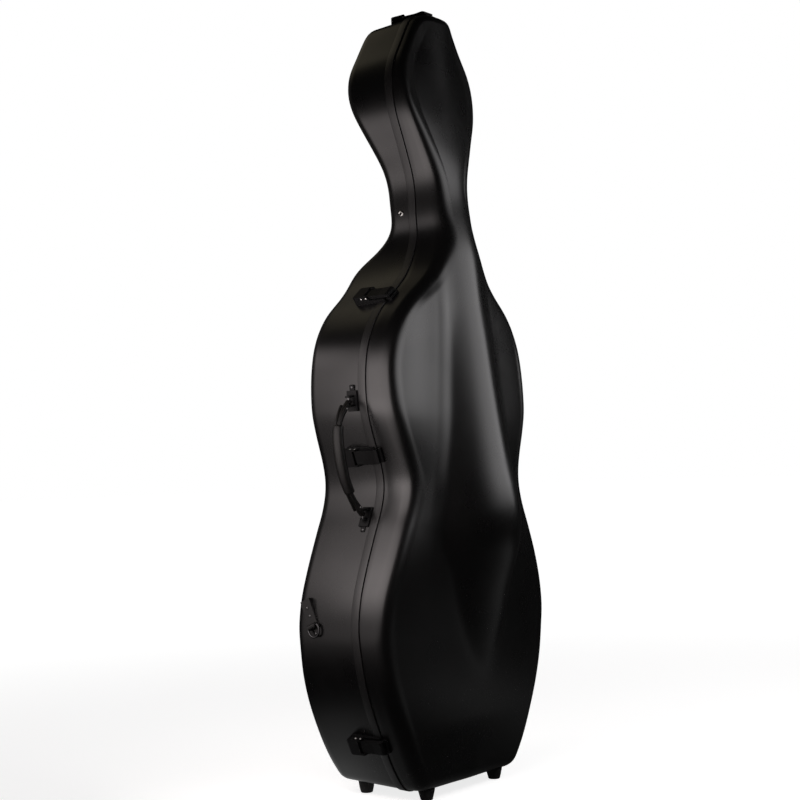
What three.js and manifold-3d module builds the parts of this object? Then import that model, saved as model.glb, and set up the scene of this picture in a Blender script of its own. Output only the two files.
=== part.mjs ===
// Hard case for a cello. Two moulded shells meet at a seam and swing on two side hinges. Four latches close
// them, an arched handle and two rings carry them, and pads inside hold the instrument.
//
// Millimetres, +Z up. The case stands on its feet at z = 0 and its lid faces -Y. The seam is the plane
// y = 0, the back shell lies behind it at +Y, and x = 0 is the plane in which the shells are symmetric.

import * as THREE from "three";
import { mergeVertices } from "three/addons/utils/BufferGeometryUtils.js";
import Module from "manifold-3d";

const wasm = await Module();
wasm.setup();

// Driving dimensions: the shells
const shellHeight = 1301;
const halfWidth = 239;
const backDepth = 157;
const lidDepth = 64;
const ridgeDepth = 143;
const shellWall = 3.2;
const faceEdgeRadius = 26;
const ridgeRadius = 60;
const ridgeBlend = 8;
const seamGap = 0.6;

// Slopes and shares of the shells
const wallSlopeShare = 0.05;
const lidCrownShare = 0.118;
const backCrownShare = 0.04;
const ridgeSlopeShare = 1.3;
const edgeRadiusShare = 0.5;
const crownFadeShare = 0.09;

// Driving dimensions: clearances
const seatGap = 0.3;
const liningGap = 0.8;
const runningGap = 0.4;
const cutOverrun = 20;

// Driving dimensions: rim parts
const bandWidth = 16;
const bandThickness = 1.5;
const tongueThickness = 2;
const tongueReach = 5;
const tongueRoot = 8;
const sealWidth = 3;
const sealHeight = 5;

// Driving dimensions: feet
const footHeight = 16;
const footTopRadius = 14.5;
const footTreadRadius = 10.5;
const footTreadEdge = 1.5;
const footSpread = 98;
const frontFootSetback = 15;
const rearFootSetback = 112;

// Driving dimensions: hinges
const hingePinRadius = 2;
const hingeKnuckleRadius = 4.6;
const hingeStandoff = 7.2;
const hingeLength = 56;
const hingeLeafWidth = 24;
const hingeLeafRise = 3.4;
const hingeKnuckleGap = 0.4;
const hingeMiddleShare = 0.36;

// Driving dimensions: latches
const latchWidth = 30;
const latchLength = 66;
const latchStart = 3;
const latchBaseRise = 4.4;
const latchHousingRise = 13;
const latchHousingLength = 36;
const latchPivotSetback = 39;
const latchPivotRise = 8.2;
const latchCheek = 3;
const latchLeverReach = 44;
const latchLeverRise = 11.4;
const latchPinRadius = 1.6;
const latchKeeperLength = 8;
const latchKeeperStart = 1.5;
const latchKeeperRise = 3.9;
const latchRounding = 5;
const latchCornerRadius = 8;

// Driving dimensions: carrying handle
const handleSetback = 29;
const handleStandoff = 11;
const handleArch = 37.5;
const handleCoreRadius = 5;
const handleGripRadius = 8;
const handleEyeRadius = 5.6;
const handleEyeLength = 11;
const handlePinRadius = 2.2;
const handleEarThickness = 3;
const handleBracketLength = 34;
const handleBracketWidth = 20;
const handleBracketRise = 3.2;

// Driving dimensions: rings and eyelets
const ringSetback = 98;
const ringTabWidth = 20;
const ringTabLength = 46;
const ringTabRise = 3;
const ringWireRadius = 1.9;
const ringWidth = 27;
const ringDrop = 22;
const ringLoopRadius = 4.6;
const ringLoopLength = 16;
const ringSlant = 24;
const eyeletRadius = 5;
const eyeletHoleRadius = 2;
const eyeletRise = 2.4;
const eyeletSetback = 33;

// Driving dimensions: pads inside
const padMargin = 13;
const sidePadDepth = 92;
const lowerPadThickness = 15;
const upperPadThickness = 24;
const endCushionHeight = 62;
const endCushionWidth = 250;
const endCushionDepth = 118;
const backPadWidth = 210;
const backPadHeight = 62;
const backPadThickness = 16;
const headCushionHeight = 50;
const headCushionWidth = 130;
const headCushionDepth = 88;
const neckCradleHeight = 56;
const neckCradleWidth = 130;
const neckCradleRadius = 21;
const neckStrapHeight = 24;
const neckStrapThickness = 2.4;
const neckStrapWidth = 66;
const lidCushionHeight = 52;
const lidCushionWidth = 230;
const lidCushionDepth = 60;
const padSoftnessShare = 0.32;

// Driving dimensions: bow holders in the lid
const bowSpread = 116;
const bowClipBaseWidth = 34;
const bowClipBaseHeight = 30;
const bowClipBaseRise = 9;
const bowClipLength = 38;
const bowClipWidth = 14;
const bowClipThickness = 4;
const bowPivotRadius = 3;
const bowStickRadius = 5.5;
const frogPocketWidth = 46;
const frogPocketHeight = 72;
const frogPocketRise = 30;
const frogPocketWall = 3;

// Heights of the fittings, as shares of the shells' height
const shoulderLatchShare = 0.6264;
const waistLatchShare = 0.4255;
const lowerLatchShare = 0.0661;
const handleTopShare = 0.4935;
const handleBottomShare = 0.3485;
const ringShare = 0.2146;
const eyeletShare = 0.741;
const lowerPadShares = [0.1, 0.3];
const upperPadShares = [0.455, 0.6];
const lowerBackPadShare = 0.19;
const upperBackPadShare = 0.52;
const neckCradleShare = 0.705;
const bowClipShare = 0.56;
const frogPocketShare = 0.125;

// The case's side outline, from the flat bottom to the flat top, as shares [of half width, of height]
const outlineShares = [
  [0.477, 0], [0.567, 0.0045], [0.62, 0.0164], [0.683, 0.0338], [0.806, 0.0799], [0.888, 0.1145],
  [0.95, 0.1491], [0.985, 0.1837], [1, 0.2121], [0.968, 0.249], [0.908, 0.2798], [0.776, 0.3336],
  [0.712, 0.3582], [0.68, 0.3782], [0.675, 0.3912], [0.692, 0.4081], [0.781, 0.4527], [0.823, 0.4781],
  [0.838, 0.5088], [0.825, 0.5411], [0.781, 0.5696], [0.702, 0.5949], [0.607, 0.6149], [0.43, 0.6414],
  [0.346, 0.6556], [0.279, 0.6733], [0.2, 0.7102], [0.2065, 0.7333], [0.2165, 0.7779],
  [0.311, 0.827], [0.405, 0.8701], [0.427, 0.8947], [0.42, 0.9162], [0.382, 0.937], [0.335, 0.9508],
  [0.288, 0.965], [0.236, 0.981], [0.185, 0.9935], [0.13, 0.9988], [0.0753, 1],
];

// Depths of the two faces at their edge, and of the lid's middle ridge, as shares [of height, of depth]
const backDepthShares = [
  [0, 0.96], [0.08, 1], [0.2106, 0.932], [0.3797, 0.928], [0.5411, 0.863], [0.6257, 0.9],
  [0.6718, 0.882], [0.6987, 0.605], [0.7241, 0.444], [0.7563, 0.447], [0.8025, 0.475], [0.8486, 0.6],
  [0.8947, 0.714], [0.9485, 0.722], [1, 0.7],
];
const lidDepthShares = [
  [0, 0.63], [0.08, 0.735], [0.2106, 0.742], [0.3, 0.885], [0.3797, 0.942], [0.46, 0.865],
  [0.5411, 0.765], [0.6257, 0.885], [0.6795, 1], [0.7256, 0.85], [0.8025, 0.705], [0.852, 0.545],
  [0.89, 0.415], [0.92, 0.34], [0.9562, 0.28], [1, 0.24],
];
const ridgeDepthShares = [
  [0.0646, 0.28], [0.103, 0.364], [0.1453, 0.476], [0.1837, 0.594], [0.226, 0.727], [0.2644, 0.83],
  [0.3028, 0.958], [0.3374, 1], [0.372, 0.965], [0.4181, 0.874], [0.495, 0.755], [0.5757, 0.65],
  [0.6141, 0.594], [0.6872, 0.51], [0.7256, 0.434], [0.764, 0.33], [0.81, 0.22],
];

// Numbers of facets
const outlineSamples = 480;
const sideSteps = 34;
const backColumns = 8;
const lidColumns = 12;
const edgeSteps = 3;
const roundSteps = 16;
const smallRoundSteps = 12;
const turnWeight = 150;
const handleSteps = 26;
const gripSteps = 12;
const ringBarSteps = 2;
const ringBendSteps = 10;
const wireSides = 8;
const gripSides = 10;
const cornerSteps = 3;
const endSteps = 6;
const padSteps = 8;
const padFacets = [6, 2, 4];
const cushionFacets = [6, 4, 4];

// Forms of the small parts, as shares, and the arc of a latch lever's hub in degrees
const ringFullnessShare = 0.7;
const padEndShare = 0.35;
const padSectionShares = [[0.62, 1], [0.92, 0.86], [1, 0.5], [0.92, 0.14], [0.62, 0]];
const leverHubArc = [40, 130];

// Points of the handle's arch, as shares [of the arch's height, of the span between the pins], and the part
// of the arch that the grip covers
const handleArchShares = [
  [0, 0], [0.2, 0], [0.42, 0.012], [0.72, 0.075], [0.92, 0.23], [1, 0.5],
  [0.92, 0.77], [0.72, 0.925], [0.42, 0.988], [0.2, 1], [0, 1],
];
const gripShares = [0.25, 0.75];

// Colours and finishes
const shellFinish = { color: 0x0b0c0e, roughness: 0.38, metalness: 0 };
const bandFinish = { color: 0x17181a, roughness: 0.45, metalness: 0.3 };
const rubberFinish = { color: 0x121213, roughness: 0.85, metalness: 0 };
const plasticFinish = { color: 0x0e0f10, roughness: 0.5, metalness: 0 };
const steelFinish = { color: 0xb9bcc0, roughness: 0.3, metalness: 1 };
const blackSteelFinish = { color: 0x1b1c1e, roughness: 0.45, metalness: 0.8 };
const leatherFinish = { color: 0x15130f, roughness: 0.6, metalness: 0 };
const velourFinish = { color: 0x23262b, roughness: 0.95, metalness: 0 };

// Solids: three.js geometry to a manifold body and back
function solidOf(geometry) {
  const bare = geometry.clone();
  bare.deleteAttribute("normal");
  bare.deleteAttribute("uv");
  const merged = mergeVertices(bare);
  const vertProperties = new Float32Array(merged.attributes.position.array);
  const triVerts = new Uint32Array(merged.index.array);
  return new wasm.Manifold(new wasm.Mesh({ numProp: 3, vertProperties, triVerts }));
}

function geometryOf(solid) {
  const mesh = solid.getMesh();
  const geometry = new THREE.BufferGeometry();
  geometry.setAttribute("position", new THREE.BufferAttribute(new Float32Array(mesh.vertProperties), 3));
  geometry.setIndex(new THREE.BufferAttribute(new Uint32Array(mesh.triVerts), 1));
  geometry.computeVertexNormals();
  return geometry;
}

function joined(...geometries) {
  return geometryOf(geometries.map(solidOf).reduce((a, b) => a.add(b)));
}

function cut(geometry, ...tools) {
  return geometryOf(tools.map(solidOf).reduce((a, b) => a.subtract(b), solidOf(geometry)));
}

// The part of a geometry, placed by a matrix, that lies inside or outside a world solid, in its own frame
function trimmed(geometry, matrix, keepInside, keepOutside = []) {
  let solid = solidOf(geometry.clone().applyMatrix4(matrix));
  for (const room of keepInside) solid = solid.intersect(room);
  for (const tool of keepOutside) solid = solid.subtract(tool);
  return geometryOf(solid).applyMatrix4(matrix.clone().invert());
}

// Loose triangles, gathered into one closed mesh
function meshOf(triangles) {
  const geometry = new THREE.BufferGeometry().setFromPoints(triangles);
  const merged = mergeVertices(geometry);
  merged.computeVertexNormals();
  return merged;
}

function quad(triangles, a, b, c, d) {
  triangles.push(a, b, c, a, c, d);
}

// A smooth curve through a table of [place, value] rows, held at its end values outside the table
function curveThrough(rows) {
  const places = rows.map((row) => row[0]);
  const values = rows.map((row) => row[1]);
  const interpolant = new THREE.CubicInterpolant(places, values, 1);
  return (place) => interpolant.evaluate(place)[0];
}

// Outline of the right side, sampled finely by chord length
function sampleOutline() {
  const corners = outlineShares.map(
    ([x, z]) => new THREE.Vector2(x * halfWidth, z * shellHeight + footHeight),
  );
  const chords = [0];
  for (let i = 1; i < corners.length; i += 1) {
    chords.push(chords[i - 1] + corners[i].distanceTo(corners[i - 1]));
  }
  const acrossAt = curveThrough(corners.map((p, i) => [chords[i], p.x]));
  const upAt = curveThrough(corners.map((p, i) => [chords[i], p.y]));
  const points = [];
  for (let i = 0; i <= outlineSamples; i += 1) {
    const place = (chords[chords.length - 1] * i) / outlineSamples;
    points.push(new THREE.Vector2(acrossAt(place), upAt(place)));
  }
  return points;
}

const outline = sampleOutline();
const shellTop = footHeight + shellHeight;

// Unit tangent of the outline at a sample. The two ends run level into the flat bottom and the flat top.
function tangentAt(i) {
  if (i === 0) return new THREE.Vector2(1, 0);
  if (i === outlineSamples) return new THREE.Vector2(-1, 0);
  return outline[i + 1].clone().sub(outline[i - 1]).normalize();
}

// Half width of the outline at a height
function widthAt(z) {
  let i = 0;
  while (i < outlineSamples - 1 && outline[i + 1].y < z) i += 1;
  const [a, b] = [outline[i], outline[i + 1]];
  const share = THREE.MathUtils.clamp((z - a.y) / (b.y - a.y), 0, 1);
  return THREE.MathUtils.lerp(a.x, b.x, share);
}

// Samples picked so that each facet spans a like amount of length and turning
function pickStations() {
  const travelled = [0];
  for (let i = 1; i <= outlineSamples; i += 1) {
    const turned = Math.abs(tangentAt(i - 1).angleTo(tangentAt(i)));
    travelled.push(travelled[i - 1] + outline[i].distanceTo(outline[i - 1]) + turned * turnWeight);
  }
  const stations = [];
  for (let step = 0; step <= sideSteps; step += 1) {
    const goal = (travelled[outlineSamples] * step) / sideSteps;
    stations.push(travelled.findIndex((length) => length >= goal - Number.EPSILON * goal));
  }
  return stations;
}

const stations = pickStations();

// The closed outline as [x, z, outward x, outward z], up the right side, over the top and down the left
function perimeter(columns) {
  const right = stations.map((i) => {
    const tangent = tangentAt(i);
    return [outline[i].x, outline[i].y, tangent.y, -tangent.x];
  });
  const left = right.map(([x, z, nx, nz]) => [-x, z, -nx, nz]).reverse();
  const [foot, crown] = [outline[0], outline[outlineSamples]];
  const top = [];
  const bottom = [];
  for (let c = 1; c < columns; c += 1) {
    const across = 1 - (2 * c) / columns;
    top.push([crown.x * across, crown.y, 0, 1]);
    bottom.push([-foot.x * across, foot.y, 0, -1]);
  }
  return [...right, ...top, ...left, ...bottom];
}

// The two faces. A depth is measured from the seam, at a place drawn in from the outline.
const backEdgeDepth = curveThrough(backDepthShares);
const lidEdgeDepth = curveThrough(lidDepthShares);
const ridgeLine = curveThrough(ridgeDepthShares);

function heightShare(z) {
  return THREE.MathUtils.clamp((z - footHeight) / shellHeight, 0, 1);
}

// A shallow arch across the face, fading out towards the bottom of the case
function crownAt(x, z, rise) {
  const reach = Math.max(widthAt(z) - faceEdgeRadius - shellWall, shellWall);
  const share = heightShare(z);
  const fade = THREE.MathUtils.smoothstep(share, 0, crownFadeShare);
  return rise * reach * fade * Math.max(1 - (x / reach) ** 2, 0);
}

function backFace(x, z) {
  return backEdgeDepth(heightShare(z)) * backDepth + crownAt(x, z, backCrownShare);
}

// The lid's face is a crowned base with a ridge along its middle that clears the bridge and the strings. The
// ridge's section is a hyperbola, round at the crest and straight at the flanks, blended into the base.
function lidFace(x, z) {
  const base = lidEdgeDepth(heightShare(z)) * lidDepth + crownAt(x, z, lidCrownShare);
  const lean = x / (ridgeSlopeShare * ridgeRadius);
  const fall = ridgeSlopeShare ** 2 * ridgeRadius * (Math.sqrt(1 + lean ** 2) - 1);
  const ridge = ridgeLine(heightShare(z)) * ridgeDepth - fall;
  return (base + ridge + Math.hypot(base - ridge, ridgeBlend)) / 2;
}

const backSide = { sign: 1, face: backFace, columns: backColumns };
const lidSide = { sign: -1, face: lidFace, columns: lidColumns };

// One ring of a shell's skin: the outline drawn in by the wall's lean and by the rounded face edge. Turn 0
// is where the rounding starts, and a quarter turn is where the face begins.
function edgeRing(side, inset, turn) {
  return perimeter(side.columns).map(([x, z, nx, nz]) => {
    const full = side.face(x, z);
    const round = Math.min(faceEdgeRadius, full * edgeRadiusShare);
    const radius = round - inset;
    const lean = (full - round) * wallSlopeShare;
    const drawn = inset + lean + radius * (1 - Math.cos(turn));
    const [px, pz] = [x - nx * drawn, z - nz * drawn];
    const depth = side.face(px, pz) - inset - radius * (1 - Math.sin(turn));
    return new THREE.Vector3(px, side.sign * depth, pz);
  });
}

function flatRing(side, inset, depth) {
  const drawn = inset + Math.abs(depth) * wallSlopeShare;
  return perimeter(side.columns).map(
    ([x, z, nx, nz]) => new THREE.Vector3(x - nx * drawn, side.sign * depth, z - nz * drawn),
  );
}

// A grid that fills a ring, joining the points of its left and right sides row by row
function fillRing(ring, side, depthOf) {
  const [rows, columns] = [sideSteps, side.columns];
  const grid = [];
  for (let r = 0; r <= rows; r += 1) {
    const right = ring[r];
    const left = ring[2 * rows + columns - r];
    const row = [];
    for (let c = 0; c <= columns; c += 1) {
      if (c === 0) row.push(right);
      else if (c === columns) row.push(left);
      else if (r === rows) row.push(ring[rows + c]);
      else if (r === 0) row.push(ring[2 * rows + 2 * columns - c]);
      else {
        const x = THREE.MathUtils.lerp(right.x, left.x, c / columns);
        row.push(new THREE.Vector3(x, side.sign * depthOf(x, right.z), right.z));
      }
    }
    grid.push(row);
  }
  return grid;
}

// Triangles of a skin, from its rim ring to its face. `outward` tells which way its faces point.
function skin(triangles, rings, grid, outward) {
  const face = outward ? (list, a, b, c, d) => quad(list, d, c, b, a) : quad;
  for (let k = 0; k + 1 < rings.length; k += 1) {
    const [low, high] = [rings[k], rings[k + 1]];
    low.forEach((point, i) => {
      const next = (i + 1) % low.length;
      face(triangles, point, low[next], high[next], high[i]);
    });
  }
  for (let r = 0; r + 1 < grid.length; r += 1) {
    for (let c = 0; c + 1 < grid[r].length; c += 1) {
      face(triangles, grid[r][c], grid[r + 1][c], grid[r + 1][c + 1], grid[r][c + 1]);
    }
  }
}

// Rings of a skin that is drawn in by `inset`, starting at the depth `start` from the seam
function skinRings(side, inset, start) {
  const rings = [flatRing(side, inset, start)];
  for (let k = 0; k <= edgeSteps; k += 1) rings.push(edgeRing(side, inset, ((Math.PI / 2) * k) / edgeSteps));
  return rings;
}

// A moulded shell with an open front: its outer and inner skins, joined at the rim
function shellGeometry(side, rimDepth) {
  const triangles = [];
  const outward = side.sign > 0;
  const outer = skinRings(side, 0, rimDepth);
  const inner = skinRings(side, shellWall, rimDepth);
  skin(triangles, outer, fillRing(outer.at(-1), side, side.face), outward);
  skin(triangles, inner, fillRing(inner.at(-1), side, (x, z) => side.face(x, z) - shellWall), !outward);
  skin(triangles, [outer[0], inner[0]], [], !outward);
  return meshOf(triangles);
}

// A shell's whole bulk, or the room inside it, as one block closed at the seam
function bulkGeometry(side, inset, start) {
  const triangles = [];
  const outward = side.sign > 0;
  const rings = skinRings(side, inset, start);
  skin(triangles, rings, fillRing(rings.at(-1), side, (x, z) => side.face(x, z) - inset), outward);
  skin(triangles, [], fillRing(rings[0], side, () => start), !outward);
  return meshOf(triangles);
}

// A band that follows the whole outline, with a section of [inset, depth] points
function bandGeometry(side, section) {
  const triangles = [];
  const rings = section.map(([inset, depth]) => flatRing(side, inset, depth));
  skin(triangles, [...rings, rings[0]], [], side.sign > 0);
  return meshOf(triangles);
}

// Solids that the fittings are trimmed to
const backOuter = solidOf(bulkGeometry(backSide, -seatGap, 0));
const backBand = solidOf(
  bandGeometry(backSide, [
    [-bandThickness - 2 * seatGap, 0],
    [-bandThickness - 2 * seatGap, bandWidth + seatGap],
    [shellWall, bandWidth + seatGap],
    [shellWall, 0],
  ]),
);
const lidOuter = solidOf(bulkGeometry(lidSide, -seatGap, 0));
const backRoom = solidOf(bulkGeometry(backSide, shellWall + liningGap, padMargin));
const lidRoom = solidOf(bulkGeometry(lidSide, shellWall + liningGap, padMargin));
const neckRoom = solidOf(bulkGeometry(backSide, shellWall + 2 * liningGap, padMargin));

// Meshes
function mesh(name, finish, geometry) {
  const made = new THREE.Mesh(geometry, new THREE.MeshStandardMaterial(finish));
  made.name = name;
  return made;
}

// A group whose X points out of the wall, whose Y is the case's Y, standing at a height on one side
function wallFrame(share, sideSign, setback = 0) {
  const z = footHeight + share * shellHeight;
  const step = shellHeight / outlineSamples;
  const slope = (widthAt(z + step) - widthAt(z - step)) / (2 * step);
  const length = Math.hypot(1, slope);
  const [nx, nz] = [sideSign / length, -slope / length];
  const drawn = setback * wallSlopeShare;
  const group = new THREE.Group();
  group.position.set(sideSign * widthAt(z) - nx * drawn, setback, z - nz * drawn);
  group.rotation.y = Math.atan2(-nz, nx);
  group.updateMatrixWorld();
  return group;
}

function topFrame() {
  const group = new THREE.Group();
  group.position.set(0, 0, shellTop);
  group.rotation.y = -Math.PI / 2;
  group.updateMatrixWorld();
  return group;
}

// A block between two corners
function block(low, high) {
  const size = high.map((value, i) => value - low[i]);
  const centre = high.map((value, i) => (value + low[i]) / 2);
  return new THREE.BoxGeometry(...size).translate(...centre);
}

// A cylinder along Z, between two heights
function rod(radius, low, high, sides = smallRoundSteps) {
  const geometry = new THREE.CylinderGeometry(radius, radius, high - low, sides);
  return geometry.rotateX(Math.PI / 2).translate(0, 0, (high + low) / 2);
}

// A profile in X and Y, drawn along Z between two heights
function slab(points, low, high) {
  const shape = new THREE.Shape(points.map(([x, y]) => new THREE.Vector2(x, y)));
  const geometry = new THREE.ExtrudeGeometry(shape, { depth: high - low, bevelEnabled: false });
  return geometry.translate(0, 0, low);
}

// Points on a round corner about a centre, in X and Y, from one angle to another in degrees
function arcPoints(centreX, centreY, radius, from, to, steps) {
  const points = [];
  for (let i = 0; i <= steps; i += 1) {
    const angle = THREE.MathUtils.degToRad(from + ((to - from) * i) / steps);
    points.push([centreX + radius * Math.cos(angle), centreY + radius * Math.sin(angle)]);
  }
  return points;
}

// A cushion: a block whose edges are drawn in and whose faces are crowned
function pillow(width, depth, height, columns, rows, layers) {
  const geometry = new THREE.BoxGeometry(2, 2, 2, columns, rows, layers);
  const position = geometry.attributes.position;
  const soft = (a, b, c) => {
    const drop = b * b + c * c - padSoftnessShare * b * b * c * c;
    return a * Math.sqrt(1 - padSoftnessShare * drop);
  };
  for (let i = 0; i < position.count; i += 1) {
    const [x, y, z] = [position.getX(i), position.getY(i), position.getZ(i)];
    position.setXYZ(i, soft(x, y, z), soft(y, z, x), soft(z, x, y));
  }
  geometry.scale(width / 2, depth / 2, height / 2);
  return geometry;
}

// Two moulded shells with the parts of their rims
function makeShells() {
  const rim = bandThickness + seamGap;
  const band = bandGeometry(backSide, [
    [-bandThickness - seatGap, seamGap],
    [-bandThickness - seatGap, bandWidth],
    [-seatGap, bandWidth],
    [-seatGap, rim],
    [shellWall, rim],
    [shellWall, seamGap],
  ]);
  const inner = shellWall + seatGap;
  const tongue = bandGeometry(lidSide, [
    [inner + runningGap, -tongueReach],
    [inner, tongueRoot],
    [inner + tongueThickness, tongueRoot],
    [inner + runningGap + tongueThickness, -tongueReach],
  ]);
  const sealStart = tongueReach + runningGap;
  const seal = bandGeometry(backSide, [
    [inner, sealStart],
    [inner, sealStart + sealHeight],
    [inner + sealWidth, sealStart + sealHeight],
    [inner + sealWidth, sealStart],
  ]);
  return {
    back: [
      mesh("back_shell", shellFinish, shellGeometry(backSide, rim + seatGap)),
      mesh("back_rim_band", bandFinish, band),
      mesh("rim_seal", rubberFinish, seal),
    ],
    lid: [
      mesh("lid_shell", shellFinish, shellGeometry(lidSide, seamGap)),
      mesh("lid_rim_tongue", bandFinish, tongue),
    ],
  };
}

// Rubber feet, tapered to the tread and trimmed to the leaning bottom wall
function makeFoot(name, x, y, outer) {
  const reach = footHeight + footTopRadius;
  const profile = [
    [0, 0],
    [footTreadRadius - footTreadEdge, 0],
    [footTreadRadius, footTreadEdge],
    [footTopRadius, footHeight],
    [footTopRadius, reach],
    [0, reach],
  ];
  const points = profile.map(([radius, z]) => new THREE.Vector2(radius, z));
  const turned = new THREE.LatheGeometry(points, roundSteps).rotateX(Math.PI / 2);
  const foot = mesh(name, rubberFinish, turned);
  foot.position.set(x, y, 0);
  foot.updateMatrixWorld();
  foot.geometry = trimmed(turned, foot.matrixWorld, [], [outer]);
  return foot;
}

function makeFeet() {
  return {
    back: [
      makeFoot("foot_rear_left", -footSpread, rearFootSetback, backOuter),
      makeFoot("foot_rear_right", footSpread, rearFootSetback, backOuter),
    ],
    lid: [
      makeFoot("foot_front_left", -footSpread, -frontFootSetback, lidOuter),
      makeFoot("foot_front_right", footSpread, -frontFootSetback, lidOuter),
    ],
  };
}

// The line that touches the lower and the upper bout, which is where a straight hinge line can lie
function boutTangent() {
  const waist = waistLatchShare * outlineSamples;
  let [low, high, slope] = [0, 0, 0];
  for (let round = 0; round < smallRoundSteps; round += 1) {
    const reach = outline.map((point) => point.x + slope * point.y);
    low = reach.indexOf(Math.max(...reach.slice(0, waist)));
    high = reach.indexOf(Math.max(...reach.slice(waist)), waist);
    slope = (outline[low].x - outline[high].x) / (outline[high].y - outline[low].y);
  }
  return { low: outline[low], high: outline[high], slope };
}

const hingeLine = boutTangent();

// A hinge, in a frame whose Z runs along the hinge line and whose X points out of the wall
function makeHinge(name, point) {
  const frame = new THREE.Group();
  const lean = Math.atan(hingeLine.slope);
  frame.position.set(point.x + hingeStandoff * Math.cos(lean), 0, point.y + hingeStandoff * Math.sin(lean));
  frame.rotation.y = -lean;
  frame.updateMatrixWorld();

  const half = hingeLength / 2;
  const middle = hingeLength * hingeMiddleShare / 2;
  const bore = rod(hingePinRadius + runningGap / 2, -half - cutOverrun, half + cutOverrun);
  const leafTop = hingeLeafRise - hingeStandoff;
  const leaf = (sign) => {
    const [near, far] = [hingeKnuckleRadius + runningGap, hingeLeafWidth].map((y) => sign * y);
    const foot = -hingeStandoff - shellWall;
    return block([foot, Math.min(near, far), -half], [leafTop, Math.max(near, far), half]);
  };
  // The web ties a knuckle to its leaf, on the leaf's own side of the seam
  const web = (sign, low, high) => {
    const y = [sign * seamGap, sign * (hingeLeafWidth / 2)];
    return block([leafTop - hingeLeafRise / 2, Math.min(...y), low], [0, Math.max(...y), high]);
  };
  const knuckle = (low, high) => rod(hingeKnuckleRadius, low, high, roundSteps);
  const keepOff = (low, high) => rod(hingeKnuckleRadius + runningGap, low, high, roundSteps);

  const ends = [[-half, -middle - hingeKnuckleGap], [middle + hingeKnuckleGap, half]];
  const backParts = [leaf(1), ...ends.flatMap(([a, b]) => [knuckle(a, b), web(1, a, b)])];
  const lidParts = [leaf(-1), knuckle(-middle, middle), web(-1, -middle, middle)];
  const middleRoom = keepOff(-middle - hingeKnuckleGap, middle + hingeKnuckleGap);
  const endRooms = ends.map(([a, b]) => keepOff(a - hingeKnuckleGap, b + hingeKnuckleGap));
  const backLeaf = cut(joined(...backParts), bore, middleRoom);
  const lidLeaf = cut(joined(...lidParts), bore, ...endRooms);
  const place = frame.matrixWorld;
  const back = frame.clone();
  back.add(
    mesh(`${name}_back_leaf`, blackSteelFinish, trimmed(backLeaf, place, [], [backOuter, backBand])),
    mesh(`${name}_pin`, steelFinish, rod(hingePinRadius, -half, half)),
  );
  const lid = frame.clone();
  lid.add(mesh(`${name}_lid_leaf`, blackSteelFinish, trimmed(lidLeaf, place, [], [lidOuter])));
  return { back, lid };
}

// A latch: a base on the back shell, a lever on a cross pin, and a keeper on the lid. X points out of the
// wall, Y runs away from the seam and Z runs along the outline.
function makeLatch(name, frame) {
  const place = frame.matrixWorld;
  const half = latchWidth / 2;
  const inside = half - latchCheek;
  const end = latchStart + latchLength;
  const housingStart = end - latchHousingLength;
  const slotEnd = latchPivotSetback + latchPivotRise / 2 + 2 * runningGap;
  const profile = [
    [-cutOverrun / 2, latchStart],
    [latchBaseRise, latchStart],
    [latchBaseRise, housingStart],
    [latchHousingRise, housingStart + latchRounding],
    ...arcPoints(latchHousingRise - latchRounding, end - latchRounding, latchRounding, 0, 90, cornerSteps),
    [-cutOverrun / 2, end],
  ];
  const slot = block([latchBaseRise, latchStart, -inside], [latchHousingRise + cutOverrun, slotEnd, inside]);
  const bore = rod(latchPinRadius + runningGap / 2, -half - cutOverrun, half + cutOverrun);
  bore.translate(latchPivotRise, latchPivotSetback, 0);
  // What rounds off a corner at the far end of the base
  const corner = (sign) => {
    const [near, far] = [half - latchCornerRadius, half + cutOverrun].map((z) => sign * z);
    const start = end - latchCornerRadius;
    const square = block(
      [-2 * cutOverrun, start, Math.min(near, far)],
      [2 * cutOverrun, end + cutOverrun, Math.max(near, far)],
    );
    const round = rod(latchCornerRadius, -3 * cutOverrun, 3 * cutOverrun, roundSteps);
    return cut(square, round.rotateY(Math.PI / 2).translate(0, start, near));
  };
  const base = cut(slab(profile, -half, half), slot, bore, corner(-1), corner(1));

  const hub = latchPivotRise - latchBaseRise - runningGap;
  const nose = latchPivotSetback - latchLeverReach;
  const underside = latchBaseRise + runningGap;
  const lever = slab(
    [
      [underside, nose],
      [latchLeverRise - hub / 2, nose],
      [latchLeverRise, nose + latchRounding],
      [latchLeverRise - hub / 3, (nose + latchPivotSetback) / 2],
      ...arcPoints(latchPivotRise, latchPivotSetback, hub, ...leverHubArc, cornerSteps),
      [underside, latchPivotSetback],
    ],
    runningGap - inside,
    inside - runningGap,
  );
  const keeper = block(
    [-cutOverrun / 2, -latchKeeperStart - latchKeeperLength, -inside],
    [latchKeeperRise, -latchKeeperStart, inside],
  );
  const pin = rod(latchPinRadius, -half, half).translate(latchPivotRise, latchPivotSetback, 0);
  const back = frame.clone();
  back.add(
    mesh(`${name}_base`, plasticFinish, trimmed(base, place, [], [backOuter, backBand])),
    mesh(`${name}_lever`, plasticFinish, cut(lever, bore)),
    mesh(`${name}_pin`, steelFinish, pin),
  );
  const lid = frame.clone();
  lid.add(mesh(`${name}_keeper`, plasticFinish, trimmed(keeper, place, [], [lidOuter])));
  return { back, lid };
}

function makeLatches() {
  return [
    makeLatch("top_latch", topFrame()),
    makeLatch("shoulder_latch", wallFrame(shoulderLatchShare, -1)),
    makeLatch("waist_latch", wallFrame(waistLatchShare, -1)),
    makeLatch("lower_latch", wallFrame(lowerLatchShare, -1)),
  ];
}

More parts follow.
